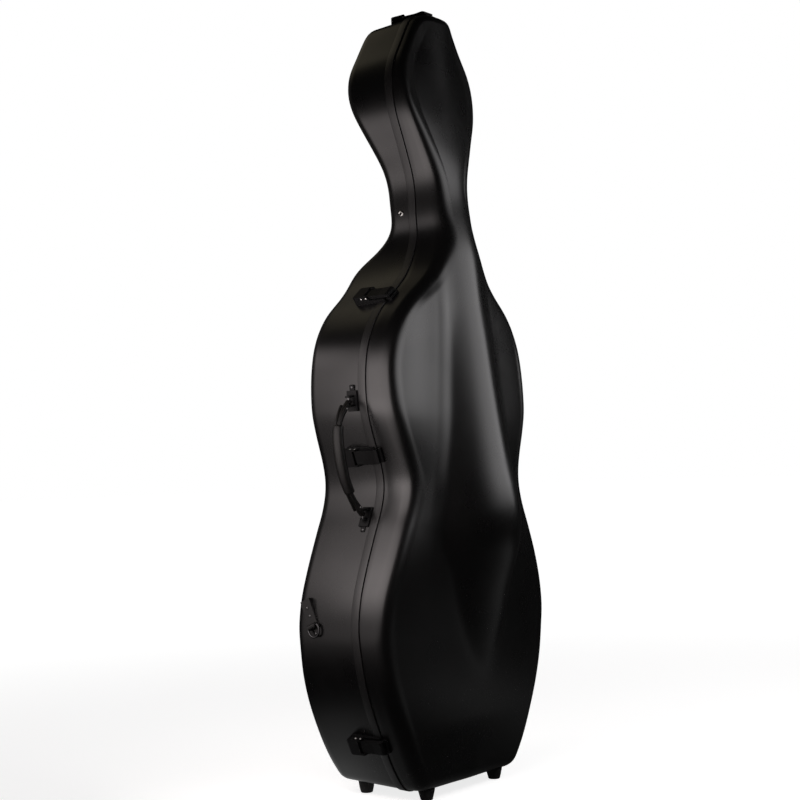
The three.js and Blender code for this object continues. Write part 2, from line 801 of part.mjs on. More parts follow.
// The carrying handle: two brackets on the back shell, and an arched strap with a leather grip that swings
// about the line through their pins. Its frame has Z along that line and X out of the case.
function handleFrame(low, high) {
  const along = high.clone().sub(low).normalize();
  const out = new THREE.Vector3(-along.z, 0, along.x);
  const side = new THREE.Vector3().crossVectors(along, out);
  const frame = new THREE.Group();
  frame.position.copy(low);
  frame.quaternion.setFromRotationMatrix(new THREE.Matrix4().makeBasis(out, side, along));
  frame.updateMatrixWorld();
  return frame;
}

function roundShape(radius, sides, holeRadius = 0) {
  const shape = new THREE.Shape();
  const ring = (r) => arcPoints(0, 0, r, 0, 360, sides).slice(1).map(([x, y]) => new THREE.Vector2(x, y));
  shape.setFromPoints(ring(radius));
  if (holeRadius > 0) shape.holes.push(new THREE.Path(ring(holeRadius).reverse()));
  return shape;
}

function drawnAlong(curve, shape, steps) {
  return new THREE.ExtrudeGeometry(shape, { extrudePath: curve, steps, bevelEnabled: false });
}

function makeHandle() {
  const feet = [handleBottomShare, handleTopShare].map((share) => wallFrame(share, -1, handleSetback));
  const pivots = feet.map((foot) => new THREE.Vector3(handleStandoff, 0, 0).applyMatrix4(foot.matrixWorld));
  const span = pivots[0].distanceTo(pivots[1]);
  const frame = handleFrame(...pivots);
  const eyeHalf = handleEyeLength / 2;
  const earStart = eyeHalf + runningGap;
  const earEnd = earStart + handleEarThickness;

  const arch = new THREE.CatmullRomCurve3(
    handleArchShares.map(([out, up]) => new THREE.Vector3(out * handleArch, 0, up * span)),
  );
  const eyes = [0, span].map((z) => rod(handleEyeRadius, z - eyeHalf, z + eyeHalf));
  const boreRadius = handlePinRadius + runningGap / 2;
  const bores = [0, span].map((z) => rod(boreRadius, z - handleStandoff, z + handleStandoff));
  const bow = drawnAlong(arch, roundShape(handleCoreRadius, wireSides), handleSteps);
  const strap = cut(joined(bow, ...eyes), ...bores);
  const gripPoints = [];
  for (let i = 0; i <= gripSteps; i += 1) {
    gripPoints.push(arch.getPointAt(THREE.MathUtils.lerp(gripShares[0], gripShares[1], i / gripSteps)));
  }
  const grip = new THREE.CatmullRomCurve3(gripPoints);
  const sleeve = drawnAlong(
    grip,
    roundShape(handleGripRadius, gripSides, handleCoreRadius + 2 * runningGap),
    gripSteps,
  );

  const ear = (low, high) => {
    const foot = -handleStandoff - handleEyeRadius;
    const round = arcPoints(0, 0, handleEyeRadius, -90, 90, endSteps);
    return slab([[foot, -handleEyeRadius], ...round, [foot, handleEyeRadius]], low, high);
  };
  const brackets = pivots.map((pivot, i) => {
    const z = i * span;
    const ears = [ear(z - earEnd, z - earStart), ear(z + earStart, z + earEnd)];
    const room = rod(handleEyeRadius + runningGap, z - earStart, z + earStart, roundSteps);
    const hole = rod(boreRadius, z - earEnd - seatGap, z + earEnd + seatGap);
    const half = [handleBracketWidth, handleBracketLength].map((size) => size / 2);
    const plate = block([-handleStandoff, -half[0], -half[1]], [handleBracketRise, half[0], half[1]]);
    const inWorld = [...ears, room, hole].map((geometry) => geometry.applyMatrix4(frame.matrixWorld));
    const whole = joined(plate.applyMatrix4(feet[i].matrixWorld), inWorld[0], inWorld[1]);
    const shaped = cut(whole, inWorld[2], inWorld[3]).applyMatrix4(feet[i].matrixWorld.clone().invert());
    const name = ["handle_bracket_lower", "handle_bracket_upper"][i];
    feet[i].add(mesh(name, plasticFinish, trimmed(shaped, feet[i].matrixWorld, [], [backOuter, backBand])));
    return feet[i];
  });
  frame.add(
    mesh("handle_strap", plasticFinish, strap),
    mesh("handle_grip", leatherFinish, sleeve),
    mesh("handle_pin_lower", steelFinish, rod(handlePinRadius, -earEnd, earEnd)),
    mesh("handle_pin_upper", steelFinish, rod(handlePinRadius, span - earEnd, span + earEnd)),
  );
  return [...brackets, frame];
}

// A closed wire through a loop of points in one plane
function closedWire(points, radius, sides, planeNormal) {
  const triangles = [];
  const rings = points.map((point, i) => {
    const before = points.at(i - 1);
    const after = points[(i + 1) % points.length];
    const across = new THREE.Vector3().crossVectors(after.clone().sub(before).normalize(), planeNormal);
    const ring = [];
    for (let k = 0; k < sides; k += 1) {
      const angle = (2 * Math.PI * k) / sides;
      const reach = across.clone().multiplyScalar(Math.cos(angle) * radius);
      ring.push(point.clone().add(reach).addScaledVector(planeNormal, Math.sin(angle) * radius));
    }
    return ring;
  });
  skin(triangles, [...rings, rings[0]], [], true);
  return meshOf(triangles);
}

// A ring for a shoulder strap: a riveted tab with a loop, and a D ring that swings in the loop. The tab
// leans, and the ring hangs from its lower end.
function makeStrapRing(name, sideSign) {
  const wallPlace = wallFrame(ringShare, sideSign, ringSetback);
  const leaning = new THREE.Group();
  leaning.rotation.x = -sideSign * THREE.MathUtils.degToRad(ringSlant);
  wallPlace.add(leaning);
  wallPlace.updateMatrixWorld(true);
  const down = -sideSign;
  const centre = ringLoopRadius + seatGap;
  const half = ringTabWidth / 2;
  const tabEnds = [-down * ringTabLength, 0].sort((a, b) => a - b);
  const plate = block([-cutOverrun / 2, -half, tabEnds[0]], [ringTabRise, half, tabEnds[1]]);
  const loop = rod(ringLoopRadius, -ringLoopLength / 2, ringLoopLength / 2).rotateX(Math.PI / 2);
  const web = block([0, -ringLoopLength / 2, -ringLoopRadius], [centre, ringLoopLength / 2, ringLoopRadius]);
  const bore = rod(ringWireRadius + runningGap, -cutOverrun, cutOverrun).rotateX(Math.PI / 2);
  loop.translate(centre, 0, 0);
  bore.translate(centre, 0, 0);
  const tab = cut(joined(plate, loop, web), bore);

  const reach = ringWidth / 2 - ringWireRadius;
  const bend = ringDrop - 2 * ringWireRadius;
  const path = [];
  for (let i = 0; i <= ringBarSteps; i += 1) path.push([-reach + (2 * reach * i) / ringBarSteps, 0]);
  for (let i = 1; i < ringBendSteps; i += 1) {
    const angle = (Math.PI * i) / ringBendSteps;
    const swell = Math.sin(angle) ** ringFullnessShare;
    path.push([reach * Math.cos(angle), bend * swell]);
  }
  const points = path.map(([y, z]) => new THREE.Vector3(centre, y, down * z));
  const wire = closedWire(points, ringWireRadius, wireSides, new THREE.Vector3(down, 0, 0));
  leaning.add(
    mesh(`${name}_tab`, leatherFinish, trimmed(tab, leaning.matrixWorld, [], [backOuter])),
    mesh(`${name}_ring`, blackSteelFinish, wire),
  );
  return wallPlace;
}

// An eyelet on the neck, for the upper end of a shoulder strap
function makeEyelet(name, sideSign) {
  const frame = wallFrame(eyeletShare, sideSign, eyeletSetback);
  const profile = [
    [eyeletHoleRadius, -eyeletRadius],
    [eyeletRadius, -eyeletRadius],
    [eyeletRadius, eyeletRise / 2],
    [(eyeletRadius + eyeletHoleRadius) / 2, eyeletRise],
    [eyeletHoleRadius, eyeletRise / 2],
    [eyeletHoleRadius, -eyeletRadius],
  ];
  const points = profile.map(([radius, height]) => new THREE.Vector2(radius, height));
  const turned = new THREE.LatheGeometry(points, smallRoundSteps).rotateZ(-Math.PI / 2);
  frame.add(mesh(name, blackSteelFinish, trimmed(turned, frame.matrixWorld, [], [backOuter])));
  return frame;
}

// Pads. Each is a soft form, trimmed to the room inside its shell so that it lies along the walls.
function placedPad(name, geometry, position, room, tools = []) {
  const pad = mesh(name, velourFinish, geometry);
  pad.position.copy(position);
  pad.updateMatrixWorld();
  pad.geometry = trimmed(geometry, pad.matrixWorld, [room], tools);
  return pad;
}

// A bolster along a side wall. Its section is crowned towards the instrument, and its ends are drawn in.
function makeSidePad(name, sideSign, shares, thickness) {
  const triangles = [];
  const rings = [];
  for (let i = 0; i <= padSteps; i += 1) {
    const along = i / padSteps;
    const z = footHeight + shellHeight * THREE.MathUtils.lerp(shares[0], shares[1], along);
    const step = shellHeight / outlineSamples;
    const slope = (widthAt(z + step) - widthAt(z - step)) / (2 * step);
    const length = Math.hypot(1, slope);
    const swell = padEndShare + (1 - padEndShare) * Math.sqrt(Math.sin(Math.PI * along));
    const ring = [[0, 0], [0, 1], ...padSectionShares].map(([crown, share]) => {
      const drawn = (shellWall + thickness * swell) * crown;
      const y = padMargin + sidePadDepth * share;
      return new THREE.Vector3((widthAt(z) - drawn / length) * sideSign, y, z + (slope * drawn) / length);
    });
    rings.push(ring);
  }
  skin(triangles, rings, [], sideSign < 0);
  for (const [ring, flip] of [[rings[0], sideSign > 0], [rings.at(-1), sideSign < 0]]) {
    for (let i = 1; i + 1 < ring.length; i += 1) {
      triangles.push(ring[0], flip ? ring[i + 1] : ring[i], flip ? ring[i] : ring[i + 1]);
    }
  }
  return placedPad(name, meshOf(triangles), new THREE.Vector3(), backRoom);
}

function makePads() {
  const heightOf = (share) => footHeight + share * shellHeight;
  const cushion = (width, depth, height) => pillow(width, depth, height, ...cushionFacets);
  const backPad = (name, share) => {
    const z = heightOf(share);
    const y = backFace(0, z) - shellWall - backPadThickness / 2;
    const pad = pillow(backPadWidth, backPadThickness, backPadHeight, ...padFacets);
    return placedPad(name, pad, new THREE.Vector3(0, y, z), backRoom);
  };
  const endHeight = footHeight + shellWall + endCushionHeight / 2;
  const headHeight = shellTop - shellWall - headCushionHeight / 2;
  const neckHeight = heightOf(neckCradleShare);
  const channel = rod(neckCradleRadius, -neckCradleHeight, neckCradleHeight, roundSteps);
  const [acrossHalf, upHalf] = [neckCradleWidth / 2, neckCradleHeight / 2];
  const cradle = cut(
    block([-acrossHalf, 0, -upHalf], [acrossHalf, backDepth, upHalf]),
    channel.translate(0, padMargin, 0),
  );
  const lidHeight = footHeight + shellWall + lidCushionHeight / 2;
  return {
    back: [
      placedPad("end_cushion", cushion(endCushionWidth, endCushionDepth, endCushionHeight),
        new THREE.Vector3(0, padMargin + endCushionDepth / 2, endHeight), backRoom),
      makeSidePad("lower_side_pad_left", -1, lowerPadShares, lowerPadThickness),
      makeSidePad("lower_side_pad_right", 1, lowerPadShares, lowerPadThickness),
      makeSidePad("upper_side_pad_left", -1, upperPadShares, upperPadThickness),
      makeSidePad("upper_side_pad_right", 1, upperPadShares, upperPadThickness),
      backPad("lower_back_pad", lowerBackPadShare),
      backPad("upper_back_pad", upperBackPadShare),
      placedPad("neck_cradle", cradle, new THREE.Vector3(0, 0, neckHeight), neckRoom),
      placedPad("head_cushion", cushion(headCushionWidth, headCushionDepth, headCushionHeight),
        new THREE.Vector3(0, padMargin + headCushionDepth / 2, headHeight), backRoom),
    ],
    lid: [
      placedPad("lid_end_cushion", cushion(lidCushionWidth, lidCushionDepth, lidCushionHeight),
        new THREE.Vector3(0, -padMargin - lidCushionDepth / 2, lidHeight), lidRoom),
    ],
  };
}

function makeNeckStrap() {
  const half = neckStrapWidth / 2;
  const top = padMargin - seatGap;
  const low = [-half, top - neckStrapThickness, -neckStrapHeight / 2];
  const strap = block(low, [half, top, neckStrapHeight / 2]);
  const placed = mesh("neck_strap", velourFinish, strap);
  placed.position.z = footHeight + neckCradleShare * shellHeight;
  return placed;
}

// Bow holders on the inside of the lid: a pocket for the bow's frog below, and a clip that turns over the
// stick above. Their frame lies on the lid's inner face, with Y pointing to the seam.
function lidFrame(x, share) {
  const z = footHeight + share * shellHeight;
  const frame = new THREE.Group();
  frame.position.set(x, shellWall - lidFace(x, z), z);
  frame.updateMatrixWorld();
  return frame;
}

function makeBowClip(name, sideSign) {
  const frame = lidFrame(sideSign * bowSpread, bowClipShare);
  const [baseHalf, upHalf] = [bowClipBaseWidth / 2, bowClipBaseHeight / 2];
  const postAt = -baseHalf + 2 * bowPivotRadius;
  const clipLow = bowClipBaseRise + runningGap;
  const clipHigh = clipLow + bowClipThickness;
  const turned = (geometry) => geometry.rotateX(-Math.PI / 2);
  const base = joined(
    block([-baseHalf, -cutOverrun / 2, -upHalf], [baseHalf, bowClipBaseRise, upHalf]),
    turned(rod(bowPivotRadius, 0, clipHigh)).translate(postAt, 0, 0),
  );
  const groove = rod(bowStickRadius, -bowClipBaseHeight, bowClipBaseHeight);
  groove.translate(baseHalf - bowStickRadius, bowClipBaseRise, 0);
  const reach = bowClipLength - bowClipWidth;
  const half = bowClipWidth / 2;
  const bar = turned(slab(
    [...arcPoints(0, 0, half, 90, 270, endSteps), ...arcPoints(reach, 0, half, -90, 90, endSteps)],
    clipLow, clipHigh,
  ));
  const hole = turned(rod(bowPivotRadius + runningGap / 2, 0, clipHigh + cutOverrun));
  const clip = mesh(`${name}_turn_clip`, plasticFinish, cut(bar, hole));
  clip.position.x = postAt;
  frame.add(
    mesh(`${name}_clip_base`, plasticFinish, trimmed(cut(base, groove), frame.matrixWorld, [lidRoom])),
    clip,
  );
  return frame;
}

function makeFrogPocket(name, sideSign) {
  const frame = lidFrame(sideSign * bowSpread, frogPocketShare);
  const [half, upHalf] = [frogPocketWidth / 2, frogPocketHeight / 2];
  const outside = block([-half, -cutOverrun / 2, -upHalf], [half, frogPocketRise, upHalf]);
  const inside = block(
    [frogPocketWall - half, 2 * frogPocketWall, frogPocketWall - upHalf],
    [half - frogPocketWall, frogPocketRise - frogPocketWall, upHalf + cutOverrun],
  );
  frame.add(mesh(name, velourFinish, trimmed(cut(outside, inside), frame.matrixWorld, [lidRoom])));
  return frame;
}

const shells = makeShells();
const feet = makeFeet();
const pads = makePads();
const hinges = [makeHinge("lower_hinge", hingeLine.low), makeHinge("upper_hinge", hingeLine.high)];
const latches = makeLatches();

// The origin lies on the floor, midway between the lid's ridge and the back, so the seam stands off it
const part = new THREE.Group();
part.name = "cello_case";
part.position.y = (ridgeDepth - backDepth) / 2;
part.add(...shells.back, ...shells.lid, ...feet.back, ...feet.lid, ...pads.back, ...pads.lid);
part.add(...hinges.flatMap((hinge) => [hinge.back, hinge.lid]));
part.add(...latches.flatMap((latch) => [latch.back, latch.lid]));
part.add(...makeHandle(), makeNeckStrap());
part.add(makeStrapRing("left_strap", -1), makeStrapRing("right_strap", 1));
part.add(makeEyelet("left_eyelet", -1), makeEyelet("right_eyelet", 1));
part.add(makeBowClip("left_bow", -1), makeBowClip("right_bow", 1));
part.add(makeFrogPocket("left_frog_pocket", -1), makeFrogPocket("right_frog_pocket", 1));

export default part;
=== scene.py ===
# %% [markdown]
# # A cello hard case in black satin
#
# This lesson dresses a packed CAD model of a cello case for one photograph. The CAD model gives every place
# and every moving part. Here its two moulded shells are drawn again as fine surfaces, its fittings get
# their small parts, and every piece gets a procedural material. A camera and a soft studio light follow.
#
# Lengths are written in millimetres, as in the CAD source, and turned into metres where a mesh is made. The
# case stands on the floor at z = 0, its lid faces -Y, and the plane of its seam lies 7 mm in front of the
# origin.

import math

import bmesh
import bpy
import numpy as np
from mathutils import Matrix, Vector

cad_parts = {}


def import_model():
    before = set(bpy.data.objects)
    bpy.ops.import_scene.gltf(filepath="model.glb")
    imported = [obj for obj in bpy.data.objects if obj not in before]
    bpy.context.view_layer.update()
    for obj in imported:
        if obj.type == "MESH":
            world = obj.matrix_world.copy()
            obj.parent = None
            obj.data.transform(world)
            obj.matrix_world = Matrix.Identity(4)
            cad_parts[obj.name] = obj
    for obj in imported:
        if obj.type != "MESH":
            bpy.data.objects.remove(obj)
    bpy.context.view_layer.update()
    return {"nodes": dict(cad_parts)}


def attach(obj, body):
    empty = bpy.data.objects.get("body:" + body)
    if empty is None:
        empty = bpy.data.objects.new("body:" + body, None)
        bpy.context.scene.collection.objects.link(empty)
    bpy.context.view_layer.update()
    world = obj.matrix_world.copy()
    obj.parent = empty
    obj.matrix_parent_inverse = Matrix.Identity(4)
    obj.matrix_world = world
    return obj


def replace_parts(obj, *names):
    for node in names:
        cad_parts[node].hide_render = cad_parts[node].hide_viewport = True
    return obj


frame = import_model()
MM = 0.001
SEAM = -7.0

# %% [markdown]
# ## Curves through tables
#
# The outline and the depths of the faces are short tables. They could be Blender curves, but a formula
# gives numpy all its depths at once. A curve through a table has at each row the mean of the slopes on its
# two sides. It is then softened with a bell-shaped weight, so that its curvature has no jumps that a glossy
# surface would show.

# %% Curves


def curve_through(rows):
    """value(t) on each span is v0 (1+2p)(1-p)^2 + v1 p^2 (3-2p) + s0 h p (1-p)^2 - s1 h p^2 (1-p), with the
    span's length h and p = (t-t0)/h. The slope s at a row is the mean of the slopes of the straight lines
    on its two sides."""
    t, v = np.array(rows, float).T
    secant = np.diff(v) / np.diff(t)
    slope = np.concatenate([secant[:1], (secant[1:] + secant[:-1]) / 2, secant[-1:]])

    def at(place):
        place = np.clip(place, t[0], t[-1])
        i = np.clip(np.searchsorted(t, place, side="right") - 1, 0, len(t) - 2)
        h = t[i + 1] - t[i]
        p = (place - t[i]) / h
        ends = v[i] * (1 + 2 * p) * (1 - p) ** 2 + v[i + 1] * p * p * (3 - 2 * p)
        return ends + slope[i] * h * p * (1 - p) ** 2 - slope[i + 1] * h * p * p * (1 - p)

    return at


def softened(values, reach, mirror=1):
    """Each value becomes the mean of its neighbours with weights exp(-k^2 / (2 reach^2)), k steps away.
    Beyond the ends the values go on as their mirror image: 1 keeps a slope of zero and -1 the slope."""
    n = int(3 * reach) + 1
    weights = np.exp(-0.5 * (np.arange(-n, n + 1) / reach) ** 2)
    before, after = values[n:0:-1], values[-2 : -n - 2 : -1]
    if mirror < 0:
        before, after = 2 * values[0] - before, 2 * values[-1] - after
    longer = np.concatenate([before, values, after])
    return np.convolve(longer, weights / weights.sum(), mode="valid")


def walked_along(points):
    """Length of the way from the first point to each point, in straight steps."""
    return np.concatenate([[0], np.cumsum(np.hypot(*np.diff(points, axis=0).T))])


def soft_step(t):
    """s^2 (3 - 2 s), where s is t kept between 0 and 1."""
    s = np.clip(t, 0, 1)
    return s * s * (3 - 2 * s)


print("halfway through a straight table from 0 to 4:", float(curve_through([[0, 0], [2, 4]])(1)))

# %% [markdown]
# ## The outline and the depths
#
# The tables hold shares of the case's half width, height and depths. They are the CAD source's own tables,
# so the fine surfaces lie where the CAD surfaces do. Only the crease on the lid's flank is added here.

# %% Tables of the form
HEIGHT, HALF_WIDTH, FOOT = 1301, 239, 16
BACK_DEPTH, LID_DEPTH, RIDGE_DEPTH = 157, 64, 143
WALL, EDGE_RADIUS, LEAN = 3.2, 26, 0.05
LID_CROWN, BACK_CROWN, CROWN_FADE = 0.118, 0.04, 0.09
RIDGE_RADIUS, RIDGE_SLOPE, RIDGE_BLEND = 60, 1.3, 8

OUTLINE = [
    [0.477, 0], [0.567, 0.0045], [0.62, 0.0164], [0.683, 0.0338], [0.806, 0.0799], [0.888, 0.1145],
    [0.95, 0.1491], [0.985, 0.1837], [1, 0.2121], [0.968, 0.249], [0.908, 0.2798], [0.776, 0.3336],
    [0.712, 0.3582], [0.68, 0.3782], [0.675, 0.3912], [0.692, 0.4081], [0.781, 0.4527], [0.823, 0.4781],
    [0.838, 0.5088], [0.825, 0.5411], [0.781, 0.5696], [0.702, 0.5949], [0.607, 0.6149], [0.43, 0.6414],
    [0.346, 0.6556], [0.279, 0.6733], [0.2, 0.7102], [0.2065, 0.7333], [0.2165, 0.7779],
    [0.311, 0.827], [0.405, 0.8701], [0.427, 0.8947], [0.42, 0.9162], [0.382, 0.937], [0.335, 0.9508],
    [0.288, 0.965], [0.236, 0.981], [0.185, 0.9935], [0.13, 0.9988], [0.0753, 1],
]
BACK_ROWS = [
    [0, 0.96], [0.08, 1], [0.2106, 0.932], [0.3797, 0.928], [0.5411, 0.863], [0.6257, 0.9],
    [0.6718, 0.882], [0.6987, 0.605], [0.7241, 0.444], [0.7563, 0.447], [0.8025, 0.475], [0.8486, 0.6],
    [0.8947, 0.714], [0.9485, 0.722], [1, 0.7],
]
LID_ROWS = [
    [0, 0.63], [0.08, 0.735], [0.2106, 0.742], [0.3, 0.885], [0.3797, 0.942], [0.46, 0.865],
    [0.5411, 0.765], [0.6257, 0.885], [0.6795, 1], [0.7256, 0.85], [0.8025, 0.705], [0.852, 0.545],
    [0.89, 0.415], [0.92, 0.34], [0.9562, 0.28], [1, 0.24],
]
RIDGE_ROWS = [
    [0.0646, 0.28], [0.103, 0.364], [0.1453, 0.476], [0.1837, 0.594], [0.226, 0.727], [0.2644, 0.83],
    [0.3028, 0.958], [0.3374, 1], [0.372, 0.965], [0.4181, 0.874], [0.495, 0.755], [0.5757, 0.65],
    [0.6141, 0.594], [0.6872, 0.51], [0.7256, 0.434], [0.764, 0.33], [0.81, 0.22],
]
print(len(OUTLINE), "rows of outline for shells", HEIGHT, "mm high and", 2 * HALF_WIDTH, "mm wide")

# %% [markdown]
# The outline is sampled by its length, softened, and kept as one list of points from the middle of the
# bottom to the middle of the top. The depth curves are sampled over the height and softened in the same
# way.

# %% Sample the outline and the depths
OUTLINE_SOFTNESS, DEPTH_SOFTNESS = 7, 5
corners = np.array(OUTLINE) * [HALF_WIDTH, HEIGHT] + [0, FOOT]
chords = walked_along(corners)
places = np.linspace(0, chords[-1], 1201)
side_x = softened(curve_through(np.c_[chords, corners[:, 0]])(places), OUTLINE_SOFTNESS, -1)
side_z = softened(curve_through(np.c_[chords, corners[:, 1]])(places), OUTLINE_SOFTNESS, 1)
side_z = np.clip(side_z, FOOT, FOOT + HEIGHT)
tangent = np.gradient(np.c_[side_x, side_z], axis=0)
tangent[0], tangent[-1] = [1, 0], [-1, 0]
tangent /= np.linalg.norm(tangent, axis=1)[:, None]

heights = np.linspace(0, 1, 651)


def depth_curve(rows):
    """depth(z): the table's curve over the share of the height, softened. Its values are shares too."""
    values = softened(curve_through(rows)(heights), DEPTH_SOFTNESS, -1)
    return lambda z: np.interp((z - FOOT) / HEIGHT, heights, values)


back_share, lid_share, ridge_share = map(depth_curve, (BACK_ROWS, LID_ROWS, RIDGE_ROWS))


def width_at(z):
    """Half width of the outline at the height z."""
    return np.interp(z, side_z, side_x)


def crown(x, z, rise):
    """rise W f max(1 - (x/W)^2, 0): an arch across the face, W its half width. f fades it at the bottom."""
    reach = np.maximum(width_at(z) - EDGE_RADIUS - WALL, WALL)
    fade = soft_step((z - FOOT) / HEIGHT / CROWN_FADE)
    return rise * reach * fade * np.maximum(1 - (x / reach) ** 2, 0)


def back_face(x, z):
    """Depth of the back: its share of 157 mm at the height z, and a shallow crown."""
    return back_share(z) * BACK_DEPTH + crown(x, z, BACK_CROWN)


CREASE = np.array([
    [380, 124], [427, 119], [477, 112], [523, 104], [589, 93], [654, 84.5], [712, 77], [770, 73], [820, 70],
    [900, 64],
])
# height, distance from the crease and half width of its three waves
CREASE_WAVES = [(1.5, 0, 15), (1.3, 0, 42), (-1.8, 42, 42)]
CREASE_LOW, CREASE_HIGH, CREASE_FADE, CREASE_FAR = 380, 900, 100, 0.15


def wave(t):
    """(1 + cos(pi t)) / 2 for t from -1 to 1, and 0 beyond."""
    return (1 + np.cos(math.pi * np.clip(t, -1, 1))) / 2


def crease(x, z):
    """A faint crease where the ridge's flank meets the face: height wave((u - middle) / reach), summed over
    its waves, with u from the line of the CREASE table. It fades out below 480 mm and above 800 mm, and it
    is fainter on the far side, where the photograph shows none."""
    u = np.abs(x) - np.interp(z, *CREASE.T)
    low, high = (z - CREASE_LOW) / CREASE_FADE, (CREASE_HIGH - z) / CREASE_FADE
    fade = np.clip(low, 0, 1) * np.clip(high, 0, 1)
    near = np.where(x < 0, 1, CREASE_FAR)
    rise = sum(height * wave((u - middle) / reach) for height, middle, reach in CREASE_WAVES)
    return near * soft_step(fade) * rise


def lid_face(x, z):
    """Depth of the lid: the smooth larger one of base b and ridge r, (b + r + sqrt((b-r)^2 + 8^2)) / 2. The
    ridge falls as the hyperbola m^2 R (sqrt(1 + (x/(mR))^2) - 1), with R = 60 mm and the slope m = 1.3."""
    base = lid_share(z) * LID_DEPTH + crown(x, z, LID_CROWN)
    fall = RIDGE_SLOPE**2 * RIDGE_RADIUS * (np.sqrt(1 + (x / (RIDGE_SLOPE * RIDGE_RADIUS)) ** 2) - 1)
    ridge = ridge_share(z) * RIDGE_DEPTH - fall
    return (base + ridge + np.hypot(base - ridge, RIDGE_BLEND)) / 2 + crease(x, z)


print("outline", round(side_x.max()), "mm half width,", round(side_z.max() - FOOT), "mm high")

# %% [markdown]
# ## Meshes from surfaces
#
# A surface here is an array of points in rows and columns. grid_quads joins its rows and columns into faces,
# tube closes a row of rings with caps or into a loop, and make_mesh turns the points and faces into a piece.

# %% Mesh helpers


def turns(count):
    """Angles of points spread evenly round a circle."""
    return np.linspace(0, 2 * math.pi, count, endpoint=False)


def grid_quads(rows, columns, loop, start=0):
    """Four corners of each cell of a grid whose point (r, c) has the number start + r * columns + c."""
    r, c = np.mgrid[0 : rows - 1, 0 : columns if loop else columns - 1]
    d = (c + 1) % columns
    quads = np.stack([r * columns + c, r * columns + d, (r + 1) * columns + d, (r + 1) * columns + c], -1)
    return quads.reshape(-1, 4) + start


SHARP = math.radians(50)


def weld(mesh):
    """Joins points that lie on each other, as where a face grid meets its ring, turns all faces outwards
    and marks the edges where faces meet at over 50 degrees as sharp."""
    work = bmesh.new()
    work.from_mesh(mesh)
    bmesh.ops.remove_doubles(work, verts=work.verts, dist=1e-5)
    bmesh.ops.recalc_face_normals(work, faces=work.faces)
    work.to_mesh(mesh)
    work.free()
    mesh.set_sharp_from_angle(angle=SHARP)


def dress(mesh, material):
    """Gives the mesh smooth shading and that one material."""
    mesh.materials.clear()
    mesh.materials.append(material)
    mesh.polygons.foreach_set("use_smooth", np.ones(len(mesh.polygons), bool))


def add(name, data):
    """A new object in the scene, with that mesh or camera."""
    made = bpy.data.objects.new(name, data)
    bpy.context.scene.collection.objects.link(made)
    return made


def make_mesh(name, points, faces, body, material, second=None):
    """One piece: points in mm from the seam plane, faces as lists, its body, material, and a second material
    with the faces that take it.
    """
    mesh = bpy.data.meshes.new(name)
    points = (np.asarray(points, float) + [0, SEAM, 0]) * MM
    mesh.from_pydata(points.tolist(), [], np.asarray(faces).tolist())
    dress(mesh, material)
    if second is not None:
        mesh.materials.append(second[0])
        mesh.polygons.foreach_set("material_index", np.asarray(second[1], np.int32))
    mesh.validate()
    weld(mesh)
    piece = add(name, mesh)
    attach(piece, body)
    return piece


def tube(rings, closed=False):
    """Points and faces of a skin over rings of equal length, an array (rings, points, 3). Each end is drawn
    in to its middle by one more ring, unless the rings close into a loop, and weld() joins the points of
    that ring."""
    rows, columns = rings.shape[:2]
    if closed:
        return rings.reshape(-1, 3), grid_quads(rows + 1, columns, True) % (rows * columns)
    ends = [np.repeat(ring.mean(0)[None, None], columns, axis=1) for ring in (rings[0], rings[-1])]
    return np.concatenate([ends[0], rings, ends[1]]).reshape(-1, 3), grid_quads(rows + 2, columns, True)


def placed(points, origin, axes):
    """Points given in a local frame, moved to origin + x X + y Y + z Z."""
    return np.asarray(origin, float) + np.asarray(points, float) @ np.asarray(axes, float)


print("three rows of four points make", len(grid_quads(3, 4, False)), "cells")

# %% [markdown]
# ## Materials
#
# A small class wraps a shader socket, so that formulas can be written with ordinary signs. Every other node
# comes from one method with its type, settings and inputs.

# %% Shader sockets


class Socket:
    """A value inside a material. a + b, a - b, a * b and a / b make Math nodes, also with plain numbers."""

    def __init__(self, tree, socket):
        self.tree, self.socket = tree, socket

    def node(self, kind, settings=None, inputs=None, output=0):
        """A new node of that type. inputs maps an input's name or number to a value or a Socket."""
        made = self.tree.nodes.new("ShaderNode" + kind)
        for key, value in (settings or {}).items():
            setattr(made, key, value)
        for key, value in (inputs or {}).items():
            if isinstance(value, Socket):
                self.tree.links.new(value.socket, made.inputs[key])
            else:
                made.inputs[key].default_value = value
        return Socket(self.tree, made.outputs[output])

    def math(self, operation, a, b):
        """One Math node, whose two inputs are numbers or Sockets."""
        return self.node("Math", {"operation": operation}, {0: a, 1: b})

    def __add__(self, other):
        return self.math("ADD", self, other)

    def __radd__(self, other):
        return self.math("ADD", other, self)

    def __sub__(self, other):
        return self.math("SUBTRACT", self, other)

    def __rsub__(self, other):
        return self.math("SUBTRACT", other, self)

    def __mul__(self, other):
        return self.math("MULTIPLY", self, other)

    def __rmul__(self, other):
        return self.math("MULTIPLY", other, self)

    def __truediv__(self, other):
        return self.math("DIVIDE", self, other)

    def __rtruediv__(self, other):
        return self.math("DIVIDE", other, self)

    def between(self, low, high, start, end):
        """From start to end, smoothly, as this value goes from low to high."""
        names = {"From Min": low, "From Max": high, "To Min": start, "To Max": end}
        return self.node("MapRange", {"interpolation_type": "SMOOTHSTEP"}, {"Value": self, **names})

    def colours(self, first, second):
        """The first colour at 0 and the second at 1. Inputs 6 and 7 are the Mix node's two colours."""
        inputs = {"Factor": self, 6: (*first, 1), 7: (*second, 1)}
        return self.node("Mix", {"data_type": "RGBA"}, inputs, 2)


print(Socket.__doc__)

# %% [markdown]
# Every finish starts from one Principled shader. Noise drives its colour, its roughness and a bump, and a
# few short helpers connect them.

# %% Material helpers


